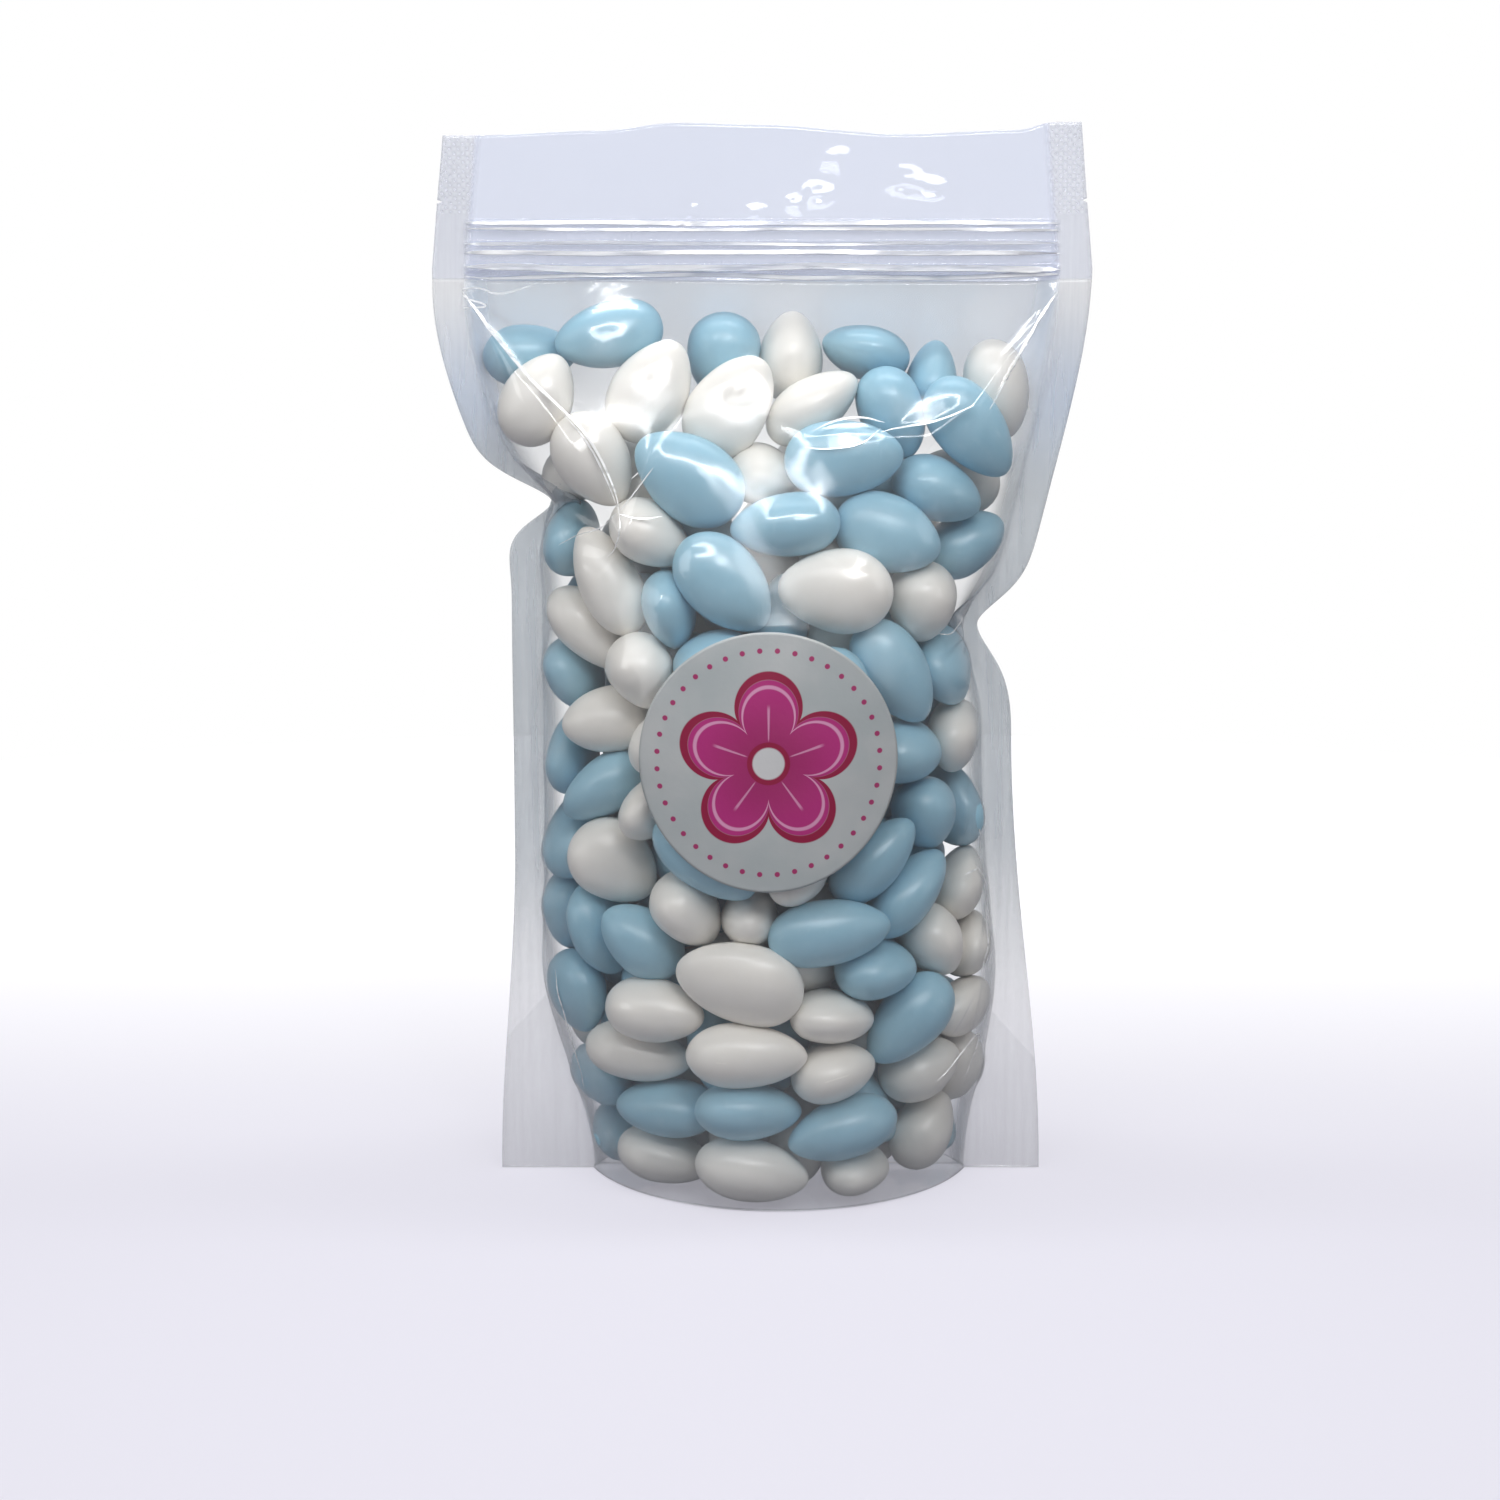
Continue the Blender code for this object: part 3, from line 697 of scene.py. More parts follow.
def taut(tops, held, pull):
    """Height of a film stretched over the tops: each point drawn to the mean of its four neighbours and in by
    pull, but never below a top, again and again. held points keep to the plain shape."""
    height = np.where(held, 0.0, np.maximum(tops, 0.0))
    for _ in range(RELAXING):
        wide = np.pad(height, 1, mode="edge")
        mean = (wide[:-2, 1:-1] + wide[2:, 1:-1] + wide[1:-1, :-2] + wide[1:-1, 2:]) / 4.0
        height = np.where(held, 0.0, np.maximum(mean - pull, tops))
    return height


# Folds of the film, in metres at the front: the x and z points that a fold passes, its height and its half
# width
FOLDS = (
    (((-0.0765, 0.2290), (-0.0530, 0.1990), (-0.0395, 0.1820), (-0.0335, 0.1660)), 0.0014, 0.0045),
    (((0.0765, 0.2290), (0.0600, 0.2120), (0.0520, 0.2000), (0.0410, 0.1925), (0.0300, 0.1920)),
     0.0013, 0.0040),
    (((0.0330, 0.1945), (0.0120, 0.1930), (0.0050, 0.1965)), 0.0007, 0.0032),
    (((-0.0500, 0.1745), (-0.0400, 0.1690), (-0.0330, 0.1655)), 0.0008, 0.0030),
    (((-0.0500, 0.1745), (-0.0530, 0.1690), (-0.0470, 0.1640), (-0.0400, 0.1625)), 0.0006, 0.0026),
    (((-0.0335, 0.1660), (-0.0250, 0.1930), (-0.0200, 0.1990)), 0.0005, 0.0030),
    (((0.0520, 0.1430), (0.0420, 0.1380), (0.0350, 0.1460)), 0.0006, 0.0028),
    (((0.0525, 0.0860), (0.0560, 0.0740), (0.0545, 0.0600)), 0.0007, 0.0026),
    (((0.0490, 0.0890), (0.0570, 0.0900)), 0.0005, 0.0022),
    (((0.0440, 0.0390), (0.0530, 0.0500), (0.0550, 0.0520), (0.0510, 0.0360)), 0.0006, 0.0025),
)


def fold_relief(x, z, points, height, half):
    """Relief of a fold along straight runs: height times (1 - distance / half width)^2, which leaves a sharp
    crest, less towards the fold's ends."""
    points = np.array(points)
    nearest, place = np.full(x.shape, 1.0), np.zeros(x.shape)
    total = np.sum(np.linalg.norm(np.diff(points, axis=0), axis=1))
    before = 0.0
    for start, end in zip(points, points[1:]):
        run = end - start
        share = np.clip(((x - start[0]) * run[0] + (z - start[1]) * run[1]) / (run @ run), 0.0, 1.0)
        distance = np.hypot(x - start[0] - share * run[0], z - start[1] - share * run[1])
        length = np.linalg.norm(run)
        place = np.where(distance < nearest, (before + share * length) / total, place)
        nearest = np.minimum(nearest, distance)
        before += length
    crest = np.maximum(1.0 - nearest / half, 0.0) ** 2
    return height * crest * np.sqrt(np.clip(4.0 * place * (1.0 - place) + 0.10, 0.0, 1.0))


# Stars of fine wrinkles that run out from where the film is caught: x, z, height, reach, rays and first angle
STARS = (
    (-0.0335, 0.1655, 0.00010, 0.010, 11, 0.4), (-0.0500, 0.1750, 0.00016, 0.010, 7, 1.1),
    (0.0530, 0.1430, 0.00014, 0.010, 8, 0.2), (-0.0745, 0.2270, 0.00014, 0.014, 11, 0.9),
    (0.0745, 0.2265, 0.00014, 0.014, 11, 2.2), (0.0300, 0.1930, 0.00010, 0.009, 9, 0.7),
    (0.0500, 0.0890, 0.00010, 0.007, 9, 1.9), (-0.0420, 0.0640, 0.00006, 0.008, 7, 0.3),
)


def star_relief(x, z, star):
    """Relief of a star: height times the sine of rays times the angle, growing from the middle and fading by
    exp(-(distance / reach)^2)."""
    centre_x, centre_z, height, reach, rays, first = star
    away = np.hypot(x - centre_x, z - centre_z)
    angle = np.arctan2(z - centre_z, x - centre_x)
    spokes = np.sin(rays * angle + first) + 0.5 * np.sin((rays + 3) * angle - first)
    return height * spokes * smooth(away, 0.0, reach * 0.4) * np.exp(-((away / reach) ** 2))


def slow_waves(x, z, scale, height, seed):
    """Gentle unevenness: the sum of eight sines whose directions, lengths round scale and phases are
    drawn."""
    draw = np.random.default_rng(seed)
    total = np.zeros(x.shape)
    for _ in range(8):
        angle, length = draw.uniform(0.0, math.pi), scale * draw.uniform(0.6, 1.6)
        phase = draw.uniform(0.0, 6.3)
        total = total + np.sin((x * math.cos(angle) + z * math.sin(angle)) * 2.0 * math.pi / length + phase)
    return height * total / 3.0


def panel_points(belly, facing):
    """Grid of the panel's points and its masks. Columns run from the left edge over the seal, the panel and
    the other seal; the panel is its plain shape moved out along its normal by the taut height and folds."""
    front = facing < 0.0
    z, s = np.meshgrid(row_heights(), np.linspace(-1.0, 1.0, PANEL_STEPS + 1), indexing="ij")
    x = across(s, z)
    own_x = x if front else -x
    y = facing * (half_depth(z, belly) * section(s, z) + SEAL_GAP)
    points = np.stack([x, y, z], axis=-1)
    normals = np.cross(np.gradient(points, axis=1), np.gradient(points, axis=0)) * -facing
    normals = normals / np.linalg.norm(normals, axis=-1, keepdims=True)
    body = z < ZIP_HEIGHT - 0.001
    tops = np.where(body, almond_tops(points, normals, facing), -1.0) + DRAPE_GAP
    if front:
        from_rim = np.hypot(x - STICKER_CENTRE[0], z - STICKER_CENTRE[1]) - STICKER_RADIUS
        tops = np.maximum(tops, np.where(from_rim < STICKER_RIM, STICKER_STAND, -1.0))
    held = ~body | (np.abs(s) > 0.995) | (z < 0.0005)
    height = taut(tops, held, PULLS[0] + (PULLS[1] - PULLS[0]) * smooth(z, *PULL_HEIGHTS))
    middle = 1.0 - smooth(np.abs(s), WELD_START, 1.0)
    free = middle * smooth(z, *FREE_FOOT) * (1.0 - smooth(z, *FREE_TOP))
    folds = slow_waves(own_x, z, *BODY_WAVES, BODY_SEED[0] if front else BODY_SEED[1])
    for fold in FOLDS:
        folds = folds + fold_relief(own_x, z, *fold)
    for star in STARS:
        folds = folds + star_relief(own_x, z, star)
    if front:
        folds = folds * smooth(from_rim, 0.0010, 0.0120)
    height = np.where(held, 0.0, np.maximum(height + folds * free, tops))
    points = points + normals * height[..., None]
    in_header = smooth(z, ZIP_HEIGHT - 0.002, ZIP_HEIGHT + 0.002)
    waved = z + ZIP_WAVE * np.sin(x / 0.017) * smooth(z, 0.2345, 0.2325)
    bulge = zip_relief(waved) + (HEADER_GAP - SEAL_GAP) * in_header
    for dent_x, dent_z, out, radius in HEAD_DENTS:
        bulge = bulge + out * np.exp(-(((x - dent_x) / radius / 1.6) ** 2) - ((z - dent_z) / radius) ** 2)
    points[..., 1] += facing * bulge * middle
    z, share = np.meshgrid(row_heights(), np.linspace(1.0, 0.0, SEAL_STEPS, endpoint=False), indexing="ij")
    notch = NOTCHES[1] * (np.abs(z - NOTCHES[0]) < NOTCHES[2] * 0.5)
    left = across(-1.0, z) - (seal(z, CORNER_LEFT) - notch) * share
    right = across(1.0, z) + (seal(z, CORNER_RIGHT) - notch) * share
    flat = np.full_like(left, facing * SEAL_GAP)
    left, right = (np.stack([x, flat, z], axis=-1) for x in (left, right[:, ::-1]))
    points = np.concatenate([left, points, right], axis=1)
    weld = np.pad(1.0 - middle, ((0, 0), (SEAL_STEPS, SEAL_STEPS)), constant_values=1.0)
    flap = smooth(points[..., 2], ZIP_HEIGHT, POUCH_HEIGHT)
    points[..., 2] += smooth(points[..., 2], ZIP_HEIGHT + 0.012, POUCH_HEIGHT) * top_wave(points[..., 0])
    sway = sum(height * np.sin(points[..., 0] / length + phase) for height, length, phase in FLAP_WAVES)
    points[..., 1] += flap * sway
    height, length = SEAL_RIPPLE
    ripple = height * np.sin(points[..., 2] / length + 2.0 * np.sign(points[..., 0])) * weld
    points[..., 1] += ripple * smooth(points[..., 2], *RIPPLE_HEIGHTS)
    height = points[..., 2]
    header = smooth(height, ZIP_HEIGHT - 0.001, ZIP_HEIGHT + 0.003)
    low = 1.0 - smooth(height, *HAZE_LOW)
    dust = DUST_BODY + (DUST_LOW - DUST_BODY) * low
    if not front:
        dust = dust + (DUST_EMPTY - DUST_BODY) * smooth(height, *HAZE_EMPTY)
    beside = np.abs(np.linspace(-1.0, 1.0, PANEL_STEPS + 1))
    beside = np.pad(smooth(beside, *BESIDE), SEAL_STEPS, mode="edge")[None, :]
    dust = dust + DUST_SIDE[0 if front else 1] * beside * (1.0 - 0.6 * smooth(height, 0.175, 0.20))
    dust = dust * (1.0 - header) + DUST_HEAD * header
    dust = dust * (1.0 - weld) + (DUST_WELD - DUST_FOOT * (1.0 - smooth(height, *HAZE_SEAL))) * weld
    crumple = np.clip(0.32 + header + 0.8 * smooth(height, 0.205, 0.225), 0.0, 1.0) * (1.0 - 0.8 * weld)
    return points, {"weld": weld, "dust": dust, "header": header, "crumple": crumple}


def grid_quads(rows, columns):
    """Quads of a grid whose points run row by row."""
    i = np.arange(rows - 1)[:, None] * columns + np.arange(columns - 1)[None, :]
    return np.stack([i, i + 1, i + columns + 1, i + columns], axis=-1).reshape(-1, 4)


def film_mesh(name, points, outward, **masks):
    """A grid of film, its faces turned outwards, with a float attribute for each mask."""
    quads = grid_quads(*points.shape[:2])
    mesh = mesh_of(name, points, quads if outward else quads[:, ::-1])
    for key, mask in masks.items():
        paint(mesh, key, mask)
    return mesh


def thicken(piece, thickness):
    """The wall's thickness, inwards from the outer face."""
    wall = piece.modifiers.new("wall", "SOLIDIFY")
    wall.thickness = thickness
    wall.offset = -1.0


def film_material(name, tint, cloud):
    """Clear film: it lets light through, mirrors more the flatter it is seen, by Schlick's rule r0 + (1 - r0)
    f^5 on both faces, and is clouded by as much as its dust value says. Welds are embossed with small checks
    in the head."""
    material, tree, place = new_material(name)
    x, _, z = components(tree, place)
    weld, dust, header, crumple = (attribute(tree, mask) for mask in ("weld", "dust", "header", "crumple"))
    pitch = 2.0 * math.pi / KNURL_PITCH
    knurl = (x * pitch).math("SINE") * (z * pitch).math("SINE")
    knurl = knurl * weld * z.step(KNURL_FOOT, KNURL_FOOT + 0.0006)
    ridges = noise(tree, place, 55.0, 3.0, 0.55) - 0.5
    relief = knurl * 0.04 + ridges.math("ABSOLUTE") * crumple * 1.2
    bump = add(tree, "Bump", {}, Strength=0.5, Distance=0.0011, Height=relief)
    clear = add(tree, "BsdfTransparent", {}, Color=(*tint, 1.0))
    sheen = 0.17 - header * 0.10
    gloss = add(tree, "BsdfGlossy", {}, Color=(1.0, 1.0, 1.0, 1.0), Roughness=sheen, Normal=bump)
    facing = Wire(add(tree, "LayerWeight", {}, Blend=0.5, Normal=bump).outputs["Facing"])
    surface = add(tree, "MixShader", {}, facing**5.0 * 0.95 + 0.04, clear, gloss)
    cloud = blend_colours(tree, z.step(0.175, 0.205), WELD_CLOUD, cloud)
    cloud = blend_colours(tree, weld * (z.step(0.195, 0.232) + z.step(0.10, 0.04)), cloud, PRESSED_CLOUD)
    milk = add(tree, "BsdfPrincipled", {}, Base_Color=cloud, Roughness=0.45, Normal=bump)
    drawn = add(tree, "Mapping", {}, place, Scale=(420.0, 1.0, 22.0)).outputs[0]
    streaks = (noise(tree, drawn, 1.0, 3.0) - 0.5) * weld * 0.7 + 1.0
    gusset = (z + x.math("ABSOLUTE") * 1.1 - GUSSET_CORNER).step(0.0006, -0.0006) * weld
    milky = dust * (knurl * 0.22 + 1.0) * streaks + gusset * 0.04
    return finished(material, add(tree, "MixShader", {}, milky, surface, milk))


FILM_TINT, HEAD_TINT = (0.985, 0.986, 0.988), (0.956, 0.966, 0.994)
WELD_CLOUD, HEAD_CLOUD, EMPTY_CLOUD = (0.64, 0.70, 0.75), (0.74, 0.78, 0.95), (0.60, 0.71, 0.87)
PRESSED_CLOUD = (0.94, 0.945, 0.97)
GUSSET_CORNER = 0.108  # a weld of the bottom panel shows where z + 1.1 |x| is less than this
KNURL_PITCH, KNURL_FOOT = 0.0022, 0.2462
clear_film = film_material("film", FILM_TINT, EMPTY_CLOUD)
head_film = film_material("head_film", HEAD_TINT, HEAD_CLOUD)
bottoms, panels = [], []
heights = row_heights()
split = int(np.searchsorted(heights, HEAD_FOOT + 1e-6))
for side_name, belly, facing in (("front", BELLY_FRONT, -1.0), ("back", BELLY_BACK, 1.0)):
    points, masks = panel_points(belly, facing)
    bottoms.append(points[0, SEAL_STEPS:-SEAL_STEPS])
    panels.append(points[:, SEAL_STEPS:-SEAL_STEPS])
    for name, rows in (("film_" + side_name, slice(0, split)), ("head_" + side_name, slice(split - 1, None))):
        mesh = film_mesh(name, points[rows], facing < 0.0, **{key: mask[rows] for key, mask in masks.items()})
        thicken(show(name, mesh, clear_film if rows.start == 0 else head_film, "pouch"), FILM)


# Bottom panel
# A third panel of the same film, folded once along the middle and welded between the other two at the bottom.
# The fill opens it flat, so the pouch stands on it, and its fold stays as a low ridge across.

FOLD_HEIGHT, FOLD_HALF = 0.0005, 0.0022
GUSSET_STEPS = 60
BOTTOM_CRUMPLE = 0.2
share = np.linspace(0.0, 1.0, GUSSET_STEPS + 1)[:, None, None]
gusset = bottoms[0][None] * (1.0 - share) + bottoms[1][None] * share
gusset[..., 2] = SEAL_GAP + FOLD_HEIGHT * np.exp(-((gusset[..., 1] / FOLD_HALF) ** 2))
none = np.zeros(gusset.shape[:2])
masks = {"weld": none, "dust": none + DUST_LOW, "header": none, "crumple": none + BOTTOM_CRUMPLE}
mesh = film_mesh("film_bottom", gusset, False, **masks)
thicken(show("film_bottom", mesh, clear_film, "pouch"), FILM)


# Zip
# A press-to-close zip: one extruded strip on each film, with a bead that snaps into a groove and a finger rib
# above. Closed, the two read as a single ribbed strip, and its ends are crushed flat into the side seals.

ZIP_FOOT, ZIP_TOP = 0.2312, 0.2452
ZIP_STEPS, ZIP_PROFILE = 150, 56


def zip_points():
    """Rings of the strip from one seal to the other: each goes up the front and down the back of the ribbed
    profile 0.2 mm inside the film, and its thickness falls to a third where the seals crush it."""
    up = np.linspace(ZIP_FOOT, ZIP_TOP, ZIP_PROFILE)
    z = np.concatenate([up, up[::-1]])[None, :]
    facing = np.concatenate([-np.ones(ZIP_PROFILE), np.ones(ZIP_PROFILE)])[None, :]
    s = np.linspace(-1.0, 1.0, ZIP_STEPS)[:, None]
    left, right = inner_lines(ZIP_FOOT)
    x = (left + 0.0005) + (right - left - 0.001) * (s + 1.0) / 2.0
    crushed = 1.0 - 0.67 * smooth(np.abs(s), 0.965, 1.0)
    above_foot = smooth(z, ZIP_FOOT - 0.0004, ZIP_FOOT + 0.0008)
    ends = np.minimum(above_foot, 1.0 - smooth(z, ZIP_TOP - 0.0008, ZIP_TOP + 0.0004))
    thick = 0.00008 + (HEADER_GAP - 0.0003) * ends + zip_relief(z) * 0.85
    wave = 0.00018 * np.sin(x / 0.0046) * np.exp(-(((z - ZIP_LINES[0][0]) / 0.0012) ** 2))
    return np.stack([x + 0.0 * z, facing * thick * crushed, z + wave], axis=-1)


def tube_mesh(name, rings):
    """A closed mesh through rings of points, with a flat face at each end."""
    count, around = rings.shape[:2]
    ends = [np.arange(around), count * around - 1 - np.arange(around)]
    mesh = mesh_of(name, rings, ring_quads(count, around), ends)
    mesh.set_sharp_from_angle(angle=math.radians(60))
    return mesh


def zip_material():
    """Clear, slightly milky plastic, drawn out along x, so its gloss is in fine upright ripples."""
    material, tree, place = new_material("zip")
    ripples = add(tree, "Mapping", {}, place, Scale=(900.0, 60.0, 60.0)).outputs[0]
    bump = add(tree, "Bump", {}, Strength=0.30, Distance=0.0005, Height=noise(tree, ripples, 1.0, 2.0))
    clear = add(tree, "BsdfTransparent", {}, Color=(0.965, 0.970, 0.980, 1.0))
    body = add(tree, "BsdfPrincipled", {}, Base_Color=(0.94, 0.95, 0.975, 1.0), Roughness=0.16, Normal=bump)
    strength = noise(tree, place, 90.0, 2.0) * 0.08 + 0.10
    return finished(material, add(tree, "MixShader", {}, strength, clear, body))


show("zip", tube_mesh("zip", zip_points()), zip_material())


# Ribs and creases
# The zip's ribs press sharp lines into both films, and where the front film is caught it folds into hard
# creases. Each line is a thin ridge of white, glossy film on the panel: its white is a painted highlight for
# the glints that these lines catch.

RIDGE_STEPS, CREASE_STEPS = 160, 60
RIB_END = 0.0745  # the ribs run between minus this and this
RIDGE_LIFT = 0.00003  # a ridge's foot stands this far off the film
RIB_LINES = (
    (0.23315, 0.00085, 0.00045, 0.7), (0.23135, 0.00038, 0.00035, 2.9), (0.23690, 0.00060, 0.00025, 1.3),
    (0.23920, 0.00045, 0.00025, 4.1), (0.24265, 0.00040, 0.00020, 0.2), (0.24420, 0.00060, 0.00020, 5.0),
)  # height, half width, how far it wanders up and down, and the phase of that
# Creases of the front film: half width, and the x and z points that each passes
CREASES = (
    (0.00050, ((-0.0752, 0.2275), (-0.0668, 0.2178), (-0.0590, 0.2081), (-0.0520, 0.2012))),
    (0.00034, ((-0.0600, 0.2092), (-0.0500, 0.1998), (-0.0440, 0.1945), (-0.0395, 0.1880), (-0.0355, 0.1790),
               (-0.0345, 0.1745))),
    (0.00020, ((-0.0490, 0.1982), (-0.0425, 0.1915), (-0.0385, 0.1840), (-0.0352, 0.1760))),
    (0.00020, ((-0.0345, 0.1745), (-0.0335, 0.1700), (-0.0345, 0.1660), (-0.0375, 0.1630))),
    (0.00018, ((-0.0345, 0.1745), (-0.0310, 0.1790), (-0.0265, 0.1850))),
    (0.00018, ((-0.0345, 0.1745), (-0.0390, 0.1700), (-0.0460, 0.1680), (-0.0500, 0.1650))),
    (0.00016, ((-0.0345, 0.1740), (-0.0290, 0.1725), (-0.0240, 0.1735))),
    (0.00026, ((-0.0768, 0.2300), (-0.0760, 0.2275), (-0.0700, 0.2290), (-0.0660, 0.2268),
               (-0.0560, 0.2300))),
    (0.00026, ((-0.0765, 0.2290), (-0.0745, 0.2255), (-0.0680, 0.2245), (-0.0710, 0.2235),
               (-0.0755, 0.2232))),
    (0.00040, ((0.0740, 0.2275), (0.0690, 0.2210), (0.0640, 0.2140), (0.0615, 0.2085))),
    (0.00022, ((0.0615, 0.2085), (0.0585, 0.2030), (0.0560, 0.1990))),
    (0.00030, ((0.0520, 0.2000), (0.0440, 0.1965), (0.0330, 0.1948), (0.0290, 0.1935))),
    (0.00030, ((0.0120, 0.1935), (0.0180, 0.1965), (0.0240, 0.1975), (0.0300, 0.1960))),
    (0.00016, ((0.0290, 0.1945), (0.0240, 0.1900), (0.0150, 0.1890), (0.0100, 0.1900))),
    (0.00018, ((0.0570, 0.0975), (0.0556, 0.0925), (0.0560, 0.0850))),
    (0.00024, ((0.0543, 0.0825), (0.0578, 0.0770), (0.0574, 0.0635), (0.0560, 0.0545))),
    (0.00020, ((0.0584, 0.0770), (0.0589, 0.0610), (0.0582, 0.0545))),
    (0.00022, ((0.0510, 0.0813), (0.0545, 0.0820))),
    (0.00020, ((0.0440, 0.0300), (0.0520, 0.0375), (0.0562, 0.0395), (0.0545, 0.0340), (0.0515, 0.0280))),
    (0.00022, ((-0.0520, 0.0560), (-0.0500, 0.0450), (-0.0470, 0.0330), (-0.0450, 0.0250))),
    (0.00018, ((0.0520, 0.1470), (0.0480, 0.1430), (0.0430, 0.1440))),
)


def share_across(x, z):
    """s at x, worked back by the arcsine from an unpinched panel."""
    left, right = inner_lines(z)
    part = np.clip((x - (left + right) / 2) / ((right - left) / 2), -1.0, 1.0)
    return np.arcsin(part * math.sin(ARC)) / ARC


def on_film(panel, x, z):
    """Points of a panel's outer face at x and z of its plain shape: its four nearest points, weighted."""
    column = np.clip((share_across(x, z) + 1.0) / 2.0 * PANEL_STEPS, 0.0, PANEL_STEPS - 0.001)
    row = np.clip(np.interp(z, heights, np.arange(len(heights))), 0.0, len(heights) - 1.001)
    i, j = column.astype(int), row.astype(int)
    u, v = (column - i)[..., None], (row - j)[..., None]
    low = panel[j, i] * (1.0 - u) + panel[j, i + 1] * u
    high = panel[j + 1, i] * (1.0 - u) + panel[j + 1, i + 1] * u
    return low * (1.0 - v) + high * v


def ridge_points(panel, facing, x, z, half):
    """Four rows of points along a line at x, z: two feet on the film, and between them a crest nearer to the
    lower one, as high as the upper flank is wide, so that this flank leans at 45 degrees. half tapers to the
    ends."""
    run = np.stack([np.gradient(x), np.gradient(z)], axis=-1)
    run = run / np.linalg.norm(run, axis=-1, keepdims=True) * np.where(run[:, :1] < 0.0, -1.0, 1.0)
    rows = []
    for across_run, out in ((-1.0, 0.0), (-0.8, 1.5), (-0.6, 1.6), (1.0, 0.0)):
        row = on_film(panel, x - run[:, 1] * half * across_run, z + run[:, 0] * half * across_run)
        row[:, 1] += facing * (RIDGE_LIFT + out * half)
        rows.append(row)
    return np.stack(rows, axis=1)


def smooth_path(corners, steps):
    """Points evenly along a path through the corners, its bends rounded by cutting each corner twice."""
    corners = np.array(corners)
    for _ in range(2):
        start, end = corners[:-1], corners[1:]
        cut = np.stack([start * 0.75 + end * 0.25, start * 0.25 + end * 0.75], axis=1)
        corners = np.concatenate([corners[:1], cut.reshape(-1, 2), corners[-1:]])
    along = np.concatenate([[0.0], np.cumsum(np.linalg.norm(np.diff(corners, axis=0), axis=1))])
    places = np.linspace(0.0, along[-1], steps)
    return np.interp(places, along, corners[:, 0]), np.interp(places, along, corners[:, 1])


def ridge_mesh(name, ridges):
    """One mesh of all the ridges, with sharp edges along each crest."""
    points, quads, first = [], [], 0
    for ridge in ridges:
        points.append(ridge.reshape(-1, 3))
        quads.append(grid_quads(*ridge.shape[:2]) + first)
        first += len(points[-1])
    mesh = mesh_of(name, np.concatenate(points), np.concatenate(quads))
    mesh.set_sharp_from_angle(angle=math.radians(25))
    return mesh


def ridge_material():
    """Painted highlight for the glints of the ribs and creases: glossy, nearly white, and in places less so,
    so the lines break up.
    """
    material, tree, place = new_material("painted_highlight_film")
    drawn = add(tree, "Mapping", {}, place, Scale=(55.0, 400.0, 400.0)).outputs[0]
    broken = noise(tree, drawn, 1.0, 2.0).step(0.33, 0.56)
    clear = add(tree, "BsdfTransparent", {}, Color=(*FILM_TINT, 1.0))
    # Nearly white base colour: a painted highlight that stands in for the lines' glints
    white = add(tree, "BsdfPrincipled", {}, Base_Color=(0.97, 0.975, 0.985, 1.0), Roughness=0.25, IOR=1.5)
    shine = add(tree, "BsdfGlossy", {}, Color=(1.0, 1.0, 1.0, 1.0), Roughness=0.30)
    bright = add(tree, "MixShader", {}, 0.55, white, shine)
    return finished(material, add(tree, "MixShader", {}, broken * 0.45 + 0.45, clear, bright))


# The ribs and creases are painted nearly white, as painted highlights
painted_highlights = ridge_material()
for side_name, panel, facing in (("front", panels[0], -1.0), ("back", panels[1], 1.0)):
    ridges = []
    x = np.linspace(-RIB_END, RIB_END, RIDGE_STEPS)
    for z, half, wander, phase in RIB_LINES:
        wavy = np.sin(x / 0.0150 + phase) + 0.5 * np.sin(x / 0.0062 - phase)
        taper = np.sqrt(np.clip(1.0 - (x / RIB_END) ** 2, 0.0, 1.0))
        taper = taper * (1.0 + 0.35 * np.sin(x / 0.0090 + 2.0 * phase))
        width = half * np.clip(taper * 2.0, 0.0, 1.0)
        ridges.append(ridge_points(panel, facing, x, z + wander * wavy * 0.7, width))
    show("ribs_" + side_name, ridge_mesh("ribs_" + side_name, ridges), painted_highlights)
ridges = []
for half, corners in CREASES:
    x, z = smooth_path(corners, CREASE_STEPS)
    taper = np.sin(np.linspace(0.03, math.pi - 0.03, CREASE_STEPS)) ** 0.6
    ridges.append(ridge_points(panels[0], -1.0, x, z, half * taper))
show("creases", ridge_mesh("creases", ridges), painted_highlights)


# Sticker
# A round paper label with a satin varnish, die cut and stuck on by hand over the filled film, so it bends
# with it. Its print is a five-petalled blossom in magenta and crimson on pearly grey, in a ring of small
# dots.

SOLID_SEAL = 0.0010  # thickness of the solid's seals
STICKER_GAP, STICKER_THICKNESS = 0.0003, 0.0004
STICKER_RINGS, STICKER_SPOKES = 48, 144
RIM_DOTS = 40.0
PEARL_GREYS, HEART_GREY = ((0.41, 0.445, 0.455), (0.49, 0.505, 0.51)), (0.60, 0.60, 0.61)
MAGENTAS = ((0.33, 0.018, 0.125), (0.44, 0.024, 0.19))  # near the middle and at the petals' ends
CRIMSON, PINK, DOT_RED = (0.27, 0.004, 0.045), (0.72, 0.36, 0.55), (0.36, 0.03, 0.13)


def front_y(x, z):
    """y of the plain front panel at x and z."""
    return -half_depth(z, BELLY_FRONT) * section(share_across(x, z), z) - SOLID_SEAL / 2


def disc_faces(rings, spokes):
    """Quads between the rings of a disc, and triangles from the first ring to its middle, the last point."""
    return ring_quads(rings, spokes), cap(rings * spokes, np.arange(spokes))


